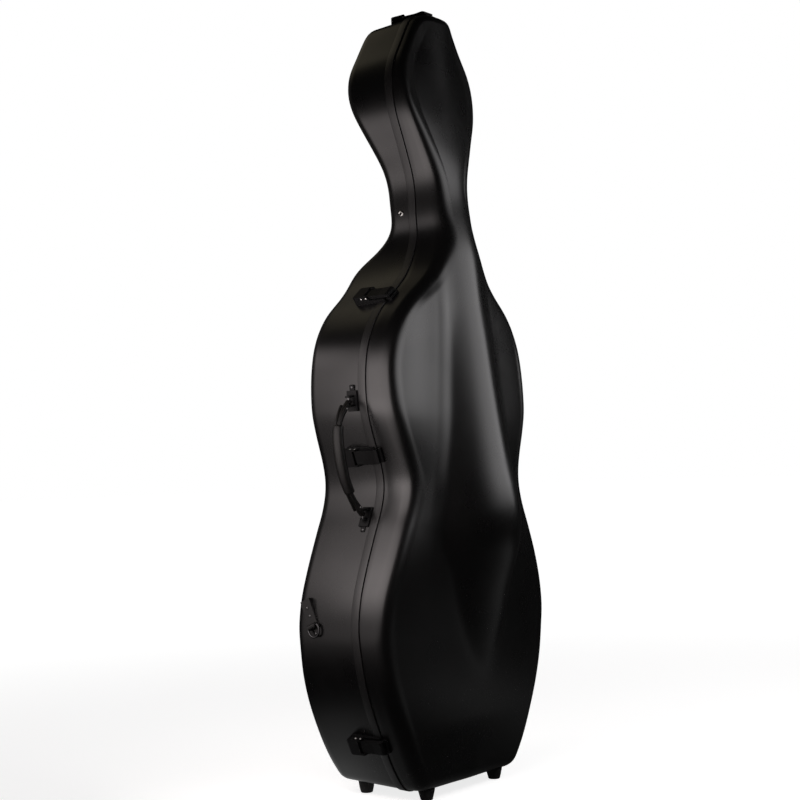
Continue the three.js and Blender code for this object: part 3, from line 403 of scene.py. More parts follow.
def new_material(name, roughness, specular=0.5):
    """A material with a Principled shader: itself, its shader node and object coordinates in metres."""
    material = bpy.data.materials.new(name)
    material.use_nodes = True
    tree = material.node_tree
    shader = tree.nodes["Principled BSDF"]
    shader.inputs["Roughness"].default_value = roughness
    shader.inputs["Specular IOR Level"].default_value = specular
    here = Socket(tree, tree.nodes.new("ShaderNodeTexCoord").outputs["Object"])
    return material, shader, here


def noise(here, scale, detail=2.0, rough=0.5):
    """Soft noise from 0 to 1, with scale bumps per metre."""
    return here.node("TexNoise", {}, {"Vector": here, "Scale": scale, "Detail": detail, "Roughness": rough})


def link(value, shader, name):
    """Links a Socket to the shader's input of that name."""
    value.tree.links.new(value.socket, shader.inputs[name])


def bump(height, shader, strength, distance):
    """Tilts the surface as if it had that height, in metres times distance."""
    made = height.node("Bump", {}, {"Height": height, "Strength": strength, "Distance": distance})
    link(made, shader, "Normal")


def shine(shader, colour, strength=1.0):
    """Lets the surface give off light in the colour of a Socket."""
    link(colour, shader, "Emission Color")
    shader.inputs["Emission Strength"].default_value = strength


print("noise with 1900 bumps per metre:", round(1000 / 1900, 2), "mm each")

# %% [markdown]
# The shells are near-black plastic with a satin skin: a fine leathery grain, a slow drift of the gloss
# where hands have wiped it, and faint smudges. Images could carry all this, but noise in the object's own
# metres has no seams and needs no unwrapping, so each mark is a noise node.

# %% Shell, plastic and rubber


def satin(name, colour, roughness, grain=1.0, wear=1.0, specular=0.5):
    """Moulded black plastic. Its grain is two noises of 0.5 and 2.4 mm, and its gloss drifts over 110 mm."""
    material, shader, here = new_material(name, roughness, specular)
    drift = noise(here, 9, 3)
    fine = noise(here, 1900)
    coarse = noise(here, 420, 3)
    smudges = noise(here, 26, 3).between(0.5, 0.8, 0.0, 0.03 * wear)
    link(drift.between(0.3, 0.7, roughness - 0.015, roughness + 0.015) + smudges, shader, "Roughness")
    tint = drift.between(0.25, 0.75, 0.0, 1.0)
    link(tint.colours([c * 0.85 for c in colour], [c * 1.15 for c in colour]), shader, "Base Color")
    bump(fine * 0.6 + coarse * 0.4, shader, 0.04 * grain, 0.0004)
    return material


shell_paint = satin("shell_satin", (0.0018, 0.0017, 0.0018), 0.28)
band_paint = satin("rim_band_satin", (0.0045, 0.0043, 0.0044), 0.36)
plastic = satin("fitting_plastic", (0.0035, 0.0035, 0.0037), 0.46, 2.5, 2.0, 0.11)


def rubber():
    """Matt rubber, dusty where it is rough."""
    material, shader, here = new_material("rubber", 0.75, 0.4)
    dust = noise(here, 260, 4, 0.6)
    shade = dust.between(0.4, 0.8, 0.0, 1.0).colours((0.006, 0.006, 0.006), (0.016, 0.015, 0.014))
    link(shade, shader, "Base Color")
    link(dust.between(0.3, 0.8, 0.62, 0.82), shader, "Roughness")
    bump(noise(here, 1300, 3), shader, 0.25, 0.0004)
    return material


def metal(name, colour, roughness):
    """Metal with fine brushing: noise drawn out eight times along Z."""
    material, shader, here = new_material(name, roughness)
    shader.inputs["Metallic"].default_value = 1.0
    drawn = here.node("VectorMath", {"operation": "MULTIPLY"}, {0: here, 1: (1.0, 1.0, 0.125)})
    brush = noise(drawn, 2600, 3)
    link(brush.between(0.3, 0.7, roughness - 0.07, roughness + 0.09), shader, "Roughness")
    link(brush.colours([c * 0.9 for c in colour], colour), shader, "Base Color")
    bump(brush, shader, 0.05, 0.0003)
    return material


rubber_black = rubber()
steel = metal("bright_steel", (0.62, 0.62, 0.60), 0.28)
grey_steel = metal("grey_steel", (0.11, 0.11, 0.112), 0.38)
black_steel = metal("black_steel", (0.06, 0.06, 0.062), 0.32)
print(len(bpy.data.materials), "materials so far, with the CAD model's own")

# %% [markdown]
# Leather has pores and creases, and velour has a short nap that catches light at the edge of a pad. The
# distance to the edges of noise cells looks like creases, and sheen does what a nap does, with no fibres to
# render.

# %% Leather and velour


def leather():
    """Black leather: creases from the distance to cell edges, painted darker as painted shade, and pores
    from fine noise.
    """
    material, shader, here = new_material("handle_leather", 0.42, 0.2)
    settings = {"feature": "DISTANCE_TO_EDGE"}
    cells = here.node("TexVoronoi", settings, {"Vector": here, "Scale": 620.0}, 0)
    creases = cells.between(0.0, 0.12, 0.0, 1.0)
    pores = noise(here, 2400, 3)
    # painted shade: the colour is darker along the creases
    link(creases.colours((0.0015, 0.0014, 0.0013), (0.0045, 0.0042, 0.004)), shader, "Base Color")
    link(pores.between(0.3, 0.75, 0.28, 0.4), shader, "Roughness")
    bump(creases * 0.7 + pores * 0.3, shader, 0.3, 0.0004)
    return material


def velour(name, colour):
    """Velour: a matt cloth with sheen, brushed patches and a nap of 1 mm tufts."""
    material, shader, here = new_material(name, 0.9, 0.1)
    shader.inputs["Sheen Weight"].default_value = 0.55
    shader.inputs["Sheen Roughness"].default_value = 0.4
    shader.inputs["Sheen Tint"].default_value = (*[min(1, c * 9) for c in colour], 1)
    brushed = noise(here, 24, 4, 0.65)
    nap = noise(here, 1100)
    shade = brushed.between(0.35, 0.68, 0.0, 0.75) + nap * 0.25
    link(shade.colours([c * 0.55 for c in colour], [c * 1.25 for c in colour]), shader, "Base Color")
    link(nap.between(0.3, 0.7, 0.82, 0.96), shader, "Roughness")
    bump(nap, shader, 0.35, 0.0006)
    return material


leather_black = leather()
pad_velour = velour("pad_velour", (0.020, 0.024, 0.031))
lining_velour = velour("lining_velour", (0.013, 0.015, 0.020))
print("soft finishes:", leather_black.name, pad_velour.name, lining_velour.name)

# %% [markdown]
# ## The two shells
#
# The real shells are moulded sheets. A coarse cage with subdivision could round them, but it would leave
# the CAD form, so the form's own formulas are sampled finely. A shell's skin starts at the rim, runs up the
# leaning wall, turns over a rounded edge and covers the face. Its points are rings along the closed
# outline, and then a grid that joins the left and the right of the last ring. The same rings, drawn in by
# the wall's thickness, make the inner skin.

# %% Skins
ROWS, EDGE_STEPS = 300, 10
picked = np.linspace(0, len(side_x) - 1, ROWS + 1).round().astype(int)


def perimeter(columns):
    """x, z and the outward direction along the closed outline: up the right side and down the left."""
    x, z = side_x[picked], side_z[picked]
    nx, nz = tangent[picked, 1], -tangent[picked, 0]
    across = 1 - 2 * np.arange(1, columns) / columns
    flat, one = np.zeros(columns - 1), np.ones(columns - 1)
    parts = [
        [x, z, nx, nz],
        [x[-1] * across, z[-1] * one, flat, one],
        [-x[::-1], z[::-1], -nx[::-1], nz[::-1]],
        [-x[0] * across, z[0] * one, flat, -one],
    ]
    return np.concatenate(parts, axis=1)


def edge_ring(side, inset, turn):
    """The rounded edge at an angle: the outline goes in by inset + lean + r (1 - cos turn), the depth is
    the face's depth there less inset + r (1 - sin turn), and r is 26 mm or half the depth."""
    sign, face, columns = side
    x, z, nx, nz = perimeter(columns)
    full = face(x, z)
    rounding = np.minimum(EDGE_RADIUS, full * 0.5)
    radius = rounding - inset
    drawn = inset + (full - rounding) * LEAN + radius * (1 - math.cos(turn))
    px, pz = x - nx * drawn, z - nz * drawn
    depth = face(px, pz) - inset - radius * (1 - math.sin(turn))
    return np.stack([px, sign * depth, pz], -1)


def wall_ring(side, inset, depth):
    """The outline at a depth from the seam, drawn in by inset + 0.05 |depth|."""
    sign, _, columns = side
    x, z, nx, nz = perimeter(columns)
    drawn = inset + abs(depth) * LEAN
    return np.stack([x - nx * drawn, np.full_like(x, sign * depth), z - nz * drawn], -1)


def face_grid(ring, side, inset):
    """Rows from the ring's right side to its left, each at the depth of the face less inset."""
    sign, face, columns = side
    right, left = ring[: ROWS + 1], ring[ROWS + columns : 2 * ROWS + columns + 1][::-1]
    t = np.linspace(0, 1, columns + 1)[None, :]
    x = right[:, :1] * (1 - t) + left[:, :1] * t
    z = np.repeat(right[:, 2:], columns + 1, axis=1)
    grid = np.stack([x, sign * (face(x, z) - inset), z], -1)
    grid[:, 0], grid[:, -1] = right, left
    grid[-1, 1:-1] = ring[ROWS + 1 : ROWS + columns]
    grid[0, 1:-1] = ring[2 * ROWS + columns + 1 :][::-1]
    return grid


print("closed outline of", perimeter(48).shape[1], "points")

# %% [markdown]
# A skin is those rings and that grid. A shell has an outer and an inner skin that meet at the rim, and the
# inner one is lined with velour.

# %% Shells


def skin(side, inset, rim):
    """Points and quads of one skin, from the rim rings [(inset, depth)...] over the edge to the face."""
    rings = [wall_ring(side, inset + extra, depth) for extra, depth in rim]
    rings += [edge_ring(side, inset, math.pi / 2 * k / EDGE_STEPS) for k in range(EDGE_STEPS + 1)]
    rings = np.array(rings)
    grid = face_grid(rings[-1], side, inset)
    rows, columns = rings.shape[:2]
    walls = grid_quads(rows, columns, True)
    face = grid_quads(*grid.shape[:2], False, start=rows * columns)
    # the wall's loops run the other way than the face's rows, seen from outside
    points = np.vstack([rings.reshape(-1, 3), grid.reshape(-1, 3)])
    return points, np.vstack([walls, face[:, ::-1]]), columns


def shell(name, side, rim, body, node):
    """A shell piece: the outer skin, the inner skin with the lining, and a strip that joins their rims."""
    outer, outer_quads, n = skin(side, 0, rim)
    inner, inner_quads, _ = skin(side, WALL, [(0, rim[0][1])])
    shift = len(outer)
    c = np.arange(n)
    d = (c + 1) % n
    strip = np.stack([c, d, d + shift, c + shift], -1)
    if side[0] < 0:
        outer_quads, inner_quads, strip = outer_quads[:, ::-1], inner_quads[:, ::-1], strip[:, ::-1]
    faces = np.vstack([outer_quads, inner_quads[:, ::-1] + shift, strip[:, ::-1]])
    kinds = np.concatenate([np.zeros(len(outer_quads)), np.ones(len(inner_quads)), np.zeros(n)])
    points = np.vstack([outer, inner])
    piece = make_mesh(name, points, faces, body, shell_paint, (lining_velour, kinds))
    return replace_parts(piece, node)


# for each side, the sign of its y, the depth of its face, and the columns across its face
BACK = (1, back_face, 48)
LID = (-1, lid_face, 96)
back_form = shell("back_shell_form", BACK, [(0, 2.4), (0, 16), (0, 40)], "back", "back_shell")
lid_form = shell("lid_shell_form", LID, [(0.5, 0.2), (0.15, 0.35), (0, 1.0), (0, 10)], "lid", "lid_shell")
print("shells", [len(o.data.polygons) for o in (back_form, lid_form)], "faces")

# %% [markdown]
# ## The rim
#
# The stiff band beside the seam, the tongue that centres the lid and the rubber seal all follow the outline
# with one section. A curve's bevel could sweep them, but rings from the outline lie exactly beside the
# shell. The sections are lists of (inset, depth) points, with small steps where an edge is rounded.

# %% Band, tongue and seal


def ribbon(name, side, section, body, material, node):
    """A closed band: the section's points, each carried round the outline as a ring."""
    rings = np.array([wall_ring(side, inset, depth) for inset, depth in section])
    points, faces = tube(rings, closed=True)
    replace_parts(make_mesh(name, points, faces, body, material), node)


band_section = [
    (-1.5, 0.3), (-1.75, 0.6), (-1.8, 1.2), (-1.8, 15.2), (-1.65, 15.8), (-1.2, 16), (-0.3, 16),
    (-0.3, 2.1), (3.2, 2.1), (3.2, 0.2), (0, 0.2), (-0.8, 0.2),
]
ribbon("rim_band_form", BACK, band_section, "back", band_paint, "back_rim_band")
tongue_section = [(3.9, -5), (3.6, 0), (3.5, 8), (5.5, 8), (5.7, 0), (5.9, -5), (5.4, -5.4), (4.4, -5.4)]
ribbon("lid_tongue_form", LID, tongue_section, "lid", band_paint, "lid_rim_tongue")
seal_section = [
    (3.5, 5.6), (3.5, 10.2), (4.2, 10.4), (5.8, 10.4), (6.5, 9.6), (6.5, 6.6), (5.6, 5.4), (4.4, 5.4),
]
ribbon("rim_seal_form", BACK, seal_section, "back", rubber_black, "rim_seal")
print("sections of", [len(s) for s in (band_section, tongue_section, seal_section)], "points")

# %% [markdown]
# ## Feet
#
# A foot is a turned rubber stud. A screw modifier could turn its profile, but the top has to follow the
# leaning bottom wall to be flush with the shell, so its rings are worked out here.

# %% Feet
FOOT_PROFILE = [(8.2, 0), (9.2, 0.25), (9.9, 0.8), (10.3, 1.6), (12.2, 9), (14.0, 15.2), (14.4, 17.5)]
FOOT_SIDE, REAR_SETBACK, FRONT_SETBACK, FLUSH_FROM = 98, 112, -15, 15


def foot(name, x, depth, body, node):
    """Rings of radius r at the height h. The two top rings rise by 0.05 mm for each mm from the seam."""
    angle = turns(48)
    rings = []
    for radius, height in FOOT_PROFILE:
        places = [x + radius * np.cos(angle), depth + radius * np.sin(angle), np.full_like(angle, height)]
        ring = np.stack(places, -1)
        if height > FLUSH_FROM:
            ring[:, 2] += LEAN * np.abs(ring[:, 1])
        rings.append(ring)
    points, faces = tube(np.array(rings))
    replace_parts(make_mesh(name, points, faces, body, rubber_black), node)


for far, x in (("left", -FOOT_SIDE), ("right", FOOT_SIDE)):
    foot(f"rear_foot_{far}", x, REAR_SETBACK, "back", f"foot_rear_{far}")
    foot(f"front_foot_{far}", x, FRONT_SETBACK, "lid", f"foot_front_{far}")
print("feet", 2 * FOOT_PROFILE[0][0], "mm wide at the floor")

# %% [markdown]
# ## Frames on the wall
#
# Most fittings stand on the side wall. A frame there has X out of the wall, Y away from the seam and Z
# along the outline, and it stands at a share of the height.

# %% Wall frames


def wall_frame(share, sign, setback=0.0):
    """Origin and axes at a height and side; the wall leans in by 0.05 mm for each mm of setback."""
    z = FOOT + share * HEIGHT
    step = HEIGHT / 480
    slope = (width_at(z + step) - width_at(z - step)) / (2 * step)
    nx, nz = sign / math.hypot(1, slope), -slope / math.hypot(1, slope)
    drawn = setback * LEAN
    origin = [sign * width_at(z) - nx * drawn, setback, z - nz * drawn]
    return np.array(origin, float), np.array([[nx, 0, nz], [0, 1, 0], [-nz, 0, nx]])


TOP_FRAME = (np.array([0.0, 0, FOOT + HEIGHT]), np.array([[0, 0, 1.0], [0, 1, 0], [-1, 0, 0]]))
LATCHES = {
    "top": TOP_FRAME,
    "shoulder": wall_frame(0.6264, -1),
    "waist": wall_frame(0.4255, -1),
    "lower": wall_frame(0.0661, -1),
}
print("latches at", {name: round(float(origin[2])) for name, (origin, _) in LATCHES.items()}, "mm")


def dome(radius, height):
    """A button of revolution about X: radius cos t at the height h sin t, with a straight skirt below."""
    angle = turns(24)
    turn = np.linspace(0, math.pi / 2 * 0.96, 6)
    radii = np.concatenate([[radius], radius * np.cos(turn)])
    rise = np.concatenate([[-height], height * np.sin(turn)])
    circle = np.stack([np.zeros_like(angle), np.cos(angle), np.sin(angle)], -1)
    return np.array([circle * r + [h, 0, 0] for r, h in zip(radii, rise)])


def button(name, frame_at, place, radius, height, body, material, axis=None):
    """A domed head at a place in a frame. It faces along the frame's X, or another axis of the frame."""
    origin, axes = frame_at
    rings = dome(radius, height)
    if axis is not None:
        rings = rings @ np.array([axis, [0, 1, 0], np.cross(axis, [0, 1, 0])], float)
    points, faces = tube(rings)
    points = placed(points + np.array(place, float), origin, axes)
    make_mesh(name, points, faces, body, material)


# %% [markdown]
# ## Latches
#
# The latches are moulded plastic with steel pins. They could be drawn anew, but their CAD forms stay. Bevels
# round their edges, and each housing but the top one gets the polished ends of its two cross pins.

# %% Latch details
BEVELLED = math.radians(28)


def rounded(node, material, width, segments=3):
    """Shows a CAD node with its edges rounded by a bevel, shaded smoothly, in one of the materials here."""
    piece = frame["nodes"][node]
    dress(piece.data, material)
    bevel = piece.modifiers.new("edges", "BEVEL")
    bevel.width, bevel.segments, bevel.limit_method = width * MM, segments, "ANGLE"
    bevel.angle_limit = BEVELLED
    piece.data.set_sharp_from_angle(angle=SHARP)


PIN_SETBACKS, PIN_RISE, PIN_HALF, PIN_RADIUS = (39, 49), 8.2, 15, 1.8
for name, frame_at in LATCHES.items():
    rounded(f"{name}_latch_base", plastic, 2.4, 4)
    rounded(f"{name}_latch_lever", plastic, 0.9)
    rounded(f"{name}_latch_keeper", plastic, 0.7)
    rounded(f"{name}_latch_pin", steel, 0.3)
    for n, y in enumerate(() if name == "top" else PIN_SETBACKS):
        for end, sign in (("a", -1), ("b", 1)):
            place, axis = [PIN_RISE, y, sign * PIN_HALF], [0, 0, sign]
            head = f"{name}_pin_head_{n}{end}"
            button(head, frame_at, place, PIN_RADIUS, 0.7, "back", steel, axis)
print(len(LATCHES), "latches")

# %% [markdown]
# ## Handle
#
# The handle is a stiff leather arch with a sleeve around its middle. A bent box would show its corners, so
# the arch is a curve through a table, and each of its parts is a section swept along it.

# %% Handle path
BRACKET_SHARES, BRACKET_SETBACK, PIVOT_RISE = (0.3485, 0.4935), 29, 11
HANDLE_LOW, HANDLE_TOP = (wall_frame(share, -1, BRACKET_SETBACK) for share in BRACKET_SHARES)
pivots = [placed([PIVOT_RISE, 0, 0], *f) for f in (HANDLE_LOW, HANDLE_TOP)]
span = float(np.linalg.norm(pivots[1] - pivots[0]))
upward = (pivots[1] - pivots[0]) / span
outward = np.array([-upward[2], 0, upward[0]])
HANDLE = (pivots[0], np.array([outward, np.cross(upward, outward), upward]))
ARCH, ARCH_SOFTNESS = 37.5, 6
arch_rows = np.array([
    [0, 0], [0.14, 0.025], [0.31, 0.085], [0.5, 0.15], [0.71, 0.235], [0.92, 0.36], [1.03, 0.52],
    [1.04, 0.65], [0.95, 0.78], [0.7, 0.872], [0.36, 0.95], [0.14, 0.985], [0, 1],
]) * [ARCH, span]
lengths = walked_along(arch_rows)
fine = np.linspace(0, lengths[-1], 400)
arch_x = softened(curve_through(np.c_[lengths, arch_rows[:, 0]])(fine), ARCH_SOFTNESS, -1)
arch_z = softened(curve_through(np.c_[lengths, arch_rows[:, 1]])(fine), ARCH_SOFTNESS, -1)
walked = walked_along(np.c_[arch_x, arch_z])
print("arch of", round(float(walked[-1])), "mm over", round(span), "mm")
walked /= walked[-1]


def arch_at(share):
    """Point of the arch at a share of its length, in the handle's frame."""
    return np.stack([np.interp(share, walked, arch_x), 0 * share, np.interp(share, walked, arch_z)], -1)


def arch_ahead(share):
    """Unit direction of the arch: from 0.4 % of its length behind the place to 0.4 % ahead."""
    d = arch_at(share + 0.004) - arch_at(share - 0.004)
    return d / np.linalg.norm(d, axis=-1)[..., None]


def superellipse(around, power):
    """Points (a, b) of |a|^p + |b|^p = 1: the cosine and the sine, each with its size raised to 2 / p."""
    angle = turns(around)
    return [np.sign(v) * np.abs(v) ** (2 / power) for v in (np.cos(angle), np.sin(angle))]


def sweep(shares, radii_x, radii_y, offset=(0, 0), around=28, power=2.0):
    """Rings along the arch: a superellipse times its two radii, moved by an offset, X out of the arch."""
    side = np.array([0.0, 1.0, 0.0])
    out = np.cross(side, arch_ahead(shares))
    a, b = superellipse(around, power)
    rx, ry, ox, oy = (np.broadcast_to(v, shares.shape)[:, None] for v in (radii_x, radii_y, *offset))
    reach_x = a[None, :] * rx + ox
    reach_y = b[None, :] * ry + oy
    return arch_at(shares)[:, None] + reach_x[..., None] * out[:, None] + reach_y[..., None] * side


def handle_piece(name, rings, node=None):
    """A leather piece of the handle, from its rings."""
    points, faces = tube(rings)
    piece = make_mesh(name, placed(points, *HANDLE), faces, "handle", leather_black)
    if node:
        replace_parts(piece, node)


# %% [markdown]
# The sleeve is fullest in the middle, and a stitched seam runs along its inner side. A core runs the whole
# length under it, and at each end a riveted fork of two straps grips the bracket's pin.

# %% Handle pieces
SLEEVE = (0.225, 0.765)
SLEEVE_FLAT, SLEEVE_WIDE = 0.95, 1.15
CORE_HALF, FORK_HALVES, STITCHES = 3.4, (3.2, 2.6), 32


def sleeve_radius(share):
    """8 mm at the sleeve's ends and 0.7 mm more in its middle, along half a sine wave."""
    return 8.0 + 0.7 * np.sin(math.pi * ((share - SLEEVE[0]) / (SLEEVE[1] - SLEEVE[0])))


t = np.linspace(*SLEEVE, 60)
ends = np.clip(np.minimum(t - SLEEVE[0], SLEEVE[1] - t) / 0.012, 0, 1)
full = sleeve_radius(t) * (0.82 + 0.18 * np.sqrt(1 - (1 - ends) ** 2))
handle_piece("handle_sleeve", sweep(t, SLEEVE_FLAT * full, SLEEVE_WIDE * full), "handle_grip")
t = np.linspace(0.0, 1.0, 90)
ply = 4.4 + 1.2 * np.exp(-(((np.minimum(t, 1 - t)) / 0.03) ** 2))
handle_piece("handle_core", sweep(t, CORE_HALF, ply, around=24, power=3), "handle_strap")
for end, start, stop in (("lower", 0.06, 0.26), ("upper", 0.74, 0.94)):
    t = np.linspace(start, stop, 24)
    spread = np.sin(math.pi / 2 * (1 - np.abs(t - SLEEVE[end == "upper"]) / 0.23).clip(0, 1))
    for sign, ply_name in ((-1, "front"), (1, "rear")):
        offset = (1.2 * spread + 0.6, sign * (8.7 - 4.7 * spread))
        handle_piece(f"handle_fork_{end}_{ply_name}", sweep(t, *FORK_HALVES, offset, 20, 3))
seam_points, seam_faces = [], []
for n, s in enumerate(np.linspace(SLEEVE[0] + 0.012, SLEEVE[1] - 0.012, STITCHES)):
    t = np.linspace(s - 0.0045, s + 0.0045, 6)
    lift = SLEEVE_FLAT * sleeve_radius(s)
    thick = 0.42 * np.sqrt(1 - np.linspace(-0.96, 0.96, 6) ** 2)
    points, faces = tube(sweep(t, thick, thick, (-lift + 0.12, 2.2), 8))
    seam_faces.append(faces + n * len(points))
    seam_points.append(placed(points, *HANDLE))
seam_points, seam_faces = np.vstack(seam_points), np.vstack(seam_faces)
make_mesh("handle_stitches", seam_points, seam_faces, "handle", leather_black)
for end, share in (("lower", 0.085), ("upper", 0.915)):
    rounded(f"handle_bracket_{end}", plastic, 0.9)
    rounded(f"handle_pin_{end}", grey_steel, 0.4)
    origin, axes = placed(arch_at(share), *HANDLE), HANDLE[1]
    for sign, ply_name in ((-1, "front"), (1, "rear")):
        turned = (origin, np.array([axes[1] * sign, axes[0], axes[2]]))
        name = f"handle_rivet_{end}_{ply_name}"
        button(name, turned, [8.8, 1.5, 0], 2.4, 1.3, "handle", grey_steel)
print(STITCHES, "stitches along a sleeve of", round(sleeve_radius(0.5), 1), "mm radius")

# %% [markdown]
# Above and below the brackets a small moulded tongue holds a screw. A bevelled box would do, but
# superellipses give its round corners in one formula.

# %% Screw tongues
TONGUE_REACH, TONGUE_SIZE = 21, (9.5, 11)


def plate(name, frame_at, centre, size, thickness, body, material):
    """A flat plate with rounded corners and edges: superellipse rings that draw in as they rise."""
    a, b = superellipse(56, 5.0)
    edge = min(0.9, thickness * 0.6)
    levels = [(-2, 0), (thickness - edge, 0), (thickness - edge * 0.3, edge * 0.3)]
    levels += [(thickness, edge), (thickness + 0.1, 2.5)]
    rings = []
    for height, drawn in levels:
        y, z = a * (size[0] / 2 - drawn), b * (size[1] / 2 - drawn)
        rings.append(np.stack([np.full_like(y, height), y, z], -1) + np.array([0, *centre]))
    points, faces = tube(np.array(rings))
    make_mesh(name, placed(points, *frame_at), faces, body, material)


for end, frame_at, sign in (("lower", HANDLE_LOW, -1), ("upper", HANDLE_TOP, 1)):
    # on a left-hand wall the frame's Z points down, so the sign turns round
    z = -sign * TONGUE_REACH
    plate(f"handle_tongue_{end}", frame_at, (0, z), TONGUE_SIZE, 1.8, "back", plastic)
    place = [1.9, 0, z - sign]
    button(f"handle_screw_{end}", frame_at, place, 2.7, 0.9, "back", black_steel)
    print(f"{end} tongue at", place, "in its frame")

# %% [markdown]
# ## Strap rings and eyelets
#
# A D ring of steel wire hangs in the loop of a slanting riveted tab. A curve with a bevel could be the
# wire, but it has to hang from its bar, so half an oval and a straight bar are joined and swept here.

# %% Rings, tabs and eyelets
TAB_SHARE, TAB_SETBACK, TAB_SLANT = 0.2146, 98, 24


def slanted(side):
    """The tab's frame: the wall's frame turned by 24 degrees about its X."""
    origin, axes = wall_frame(TAB_SHARE, side, TAB_SETBACK)
    slant = -side * math.radians(TAB_SLANT)
    c, s = math.cos(slant), math.sin(slant)
    return origin, np.array([[1, 0, 0], [0, c, s], [0, -s, c]]) @ axes


WIRE, BAR_HALF, RING_DROP, RING_RISE = 1.9, 11.6, 18.2, 4.9


def ring_wire(side):
    """Rings of the wire. Its centre line is a bar of 23 mm and (11.6 cos t, 18.2 sin(t)^0.7) for t from 0 to
    180 degrees, smoothed three times."""
    bar = np.linspace(-BAR_HALF, BAR_HALF, 12)[:-1]
    t = np.linspace(0, math.pi, 44)[:-1]
    y = np.concatenate([bar, BAR_HALF * np.cos(t)])
    z = np.concatenate([0 * bar, RING_DROP * np.sin(t) ** 0.7])
    n = len(y)
    line = np.stack([y, z], -1)
    for _ in range(3):
        line = (np.roll(line, 1, axis=0) + 2 * line + np.roll(line, -1, axis=0)) / 4
    d = np.roll(line, -1, axis=0) - np.roll(line, 1, axis=0)
    d /= np.linalg.norm(d, axis=1)[:, None]
    angle = turns(16)
    out = np.stack([np.zeros(n), d[:, 1], -d[:, 0]], -1)
    flat = np.array([1.0, 0, 0])
    c, s = np.cos(angle)[None, :, None], np.sin(angle)[None, :, None]
    rings = c * out[:, None] * WIRE + s * flat * WIRE
    rings += np.stack([np.full(n, RING_RISE), line[:, 0], line[:, 1]], -1)[:, None]
    rings[..., 2] *= -side
    return rings


for far, side in (("left", -1), ("right", 1)):
    frame_at = slanted(side)
    points, faces = tube(ring_wire(side), closed=True)
    points = placed(points, *frame_at)
    ring = make_mesh(f"{far}_d_ring", points, faces, f"{far}_ring", black_steel)
    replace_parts(ring, f"{far}_strap_ring")
    rounded(f"{far}_strap_tab", shell_paint, 2.6, 5)
    for n, up in enumerate((18, 32)):
        place = [3.0, 0, side * up]
        button(f"{far}_tab_rivet_{n}", frame_at, place, 2.4, 1.4, "back", grey_steel)
    place = [0.2, 2, -side * 12]
    button(f"{far}_wall_rivet", frame_at, place, 2.3, 1.2, "back", grey_steel)
    rounded(f"{far}_eyelet", steel, 0.3)

for hinge in ("lower", "upper"):
    rounded(f"{hinge}_hinge_back_leaf", black_steel, 0.6)
    rounded(f"{hinge}_hinge_lid_leaf", black_steel, 0.6)
    rounded(f"{hinge}_hinge_pin", steel, 0.4)
for far in ("left", "right"):
    rounded(f"{far}_bow_clip_base", plastic, 0.8)
    rounded(f"{far}_bow_turn_clip", plastic, 0.8)
print(len(points), "points in the wire of a ring")

# %% [markdown]
# ## Pads
#
# The pads are stuffed velour. Each starts from its CAD form, remeshed evenly, and but for the neck strap and
# the frog pockets a short cloth simulation under pressure swells it. The movement is capped and fades out
# near the shells, so no pad grows through a wall.

# %% Stuffed pads
WALL_ROOM, END_ROOM, ROOM_FADE = 5, 12, 14
PRESSURE, CAP, CLOTH_FRAMES = 4.0, 3.5, 20


def room(points):
    """0 near a shell's wall, face or end and 1 from 14 mm further in, by the least of the distances."""
    x, y, z = points[:, 0], points[:, 1] - SEAM, points[:, 2]
    side = width_at(z) - np.abs(x) - LEAN * np.abs(y) - WALL_ROOM
    face = np.where(y > 0, back_face(x, z), lid_face(x, z)) - np.abs(y) - WALL_ROOM
    ends = np.minimum(z - FOOT, FOOT + HEIGHT - z) - END_ROOM
    return soft_step(np.minimum(np.minimum(side, face), ends) / ROOM_FADE)


def coordinates(mesh):
    """The mesh's points as an array, in metres."""
    flat = np.zeros(len(mesh.vertices) * 3, np.float32)
    mesh.vertices.foreach_get("co", flat)
    return flat.reshape(-1, 3).astype(float)


def soft_copy(name, node, voxel):
    """A copy of a CAD node's form, remeshed with even cells and smoothed six times."""
    copy = add(name, frame["nodes"][node].data.copy())
    remesh = copy.modifiers.new("even", "REMESH")
    remesh.mode, remesh.voxel_size = "VOXEL", voxel * MM
    smooth = copy.modifiers.new("soft", "SMOOTH")
    smooth.factor, smooth.iterations = 0.5, 6
    bpy.context.view_layer.update()
    evaluated = copy.evaluated_get(bpy.context.evaluated_depsgraph_get())
    mesh = bpy.data.meshes.new_from_object(evaluated)
    mesh.name = name
    copy.modifiers.clear()
    copy.data = mesh
    return copy


def swell(copy):
    """Twenty frames of cloth under pressure, without gravity. Then no point has moved more than 3.5 mm."""
    rest = coordinates(copy.data)
    cloth = copy.modifiers.new("stuffing", "CLOTH")
    cloth.settings.use_pressure = True
    cloth.settings.uniform_pressure_force = PRESSURE
    cloth.settings.effector_weights.gravity = 0.0
    cloth.settings.quality = 4
    cloth.point_cache.frame_start, cloth.point_cache.frame_end = 1, CLOTH_FRAMES
    for number in range(1, CLOTH_FRAMES + 1):
        bpy.context.scene.frame_set(number)
    evaluated = copy.evaluated_get(bpy.context.evaluated_depsgraph_get())
    moved = coordinates(evaluated.data) - rest
    copy.modifiers.clear()
    bpy.context.scene.frame_set(1)
    length = np.linalg.norm(moved, axis=1)[:, None]
    moved *= np.minimum(1, CAP * MM / np.maximum(length, 1e-9)) * room(rest / MM)[:, None]
    copy.data.vertices.foreach_set("co", (rest + moved).astype(np.float32).ravel())
    copy.data.update()


def pad(name, node, body, voxel=5.0, puff=True):
    """A stuffed piece in place of a CAD pad."""
    copy = soft_copy(name, node, voxel)
    if puff:
        swell(copy)
    dress(copy.data, pad_velour)
    smooth = copy.modifiers.new("smooth", "SUBSURF")
    smooth.levels = smooth.render_levels = 1
    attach(copy, body)
    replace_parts(copy, node)
    return copy


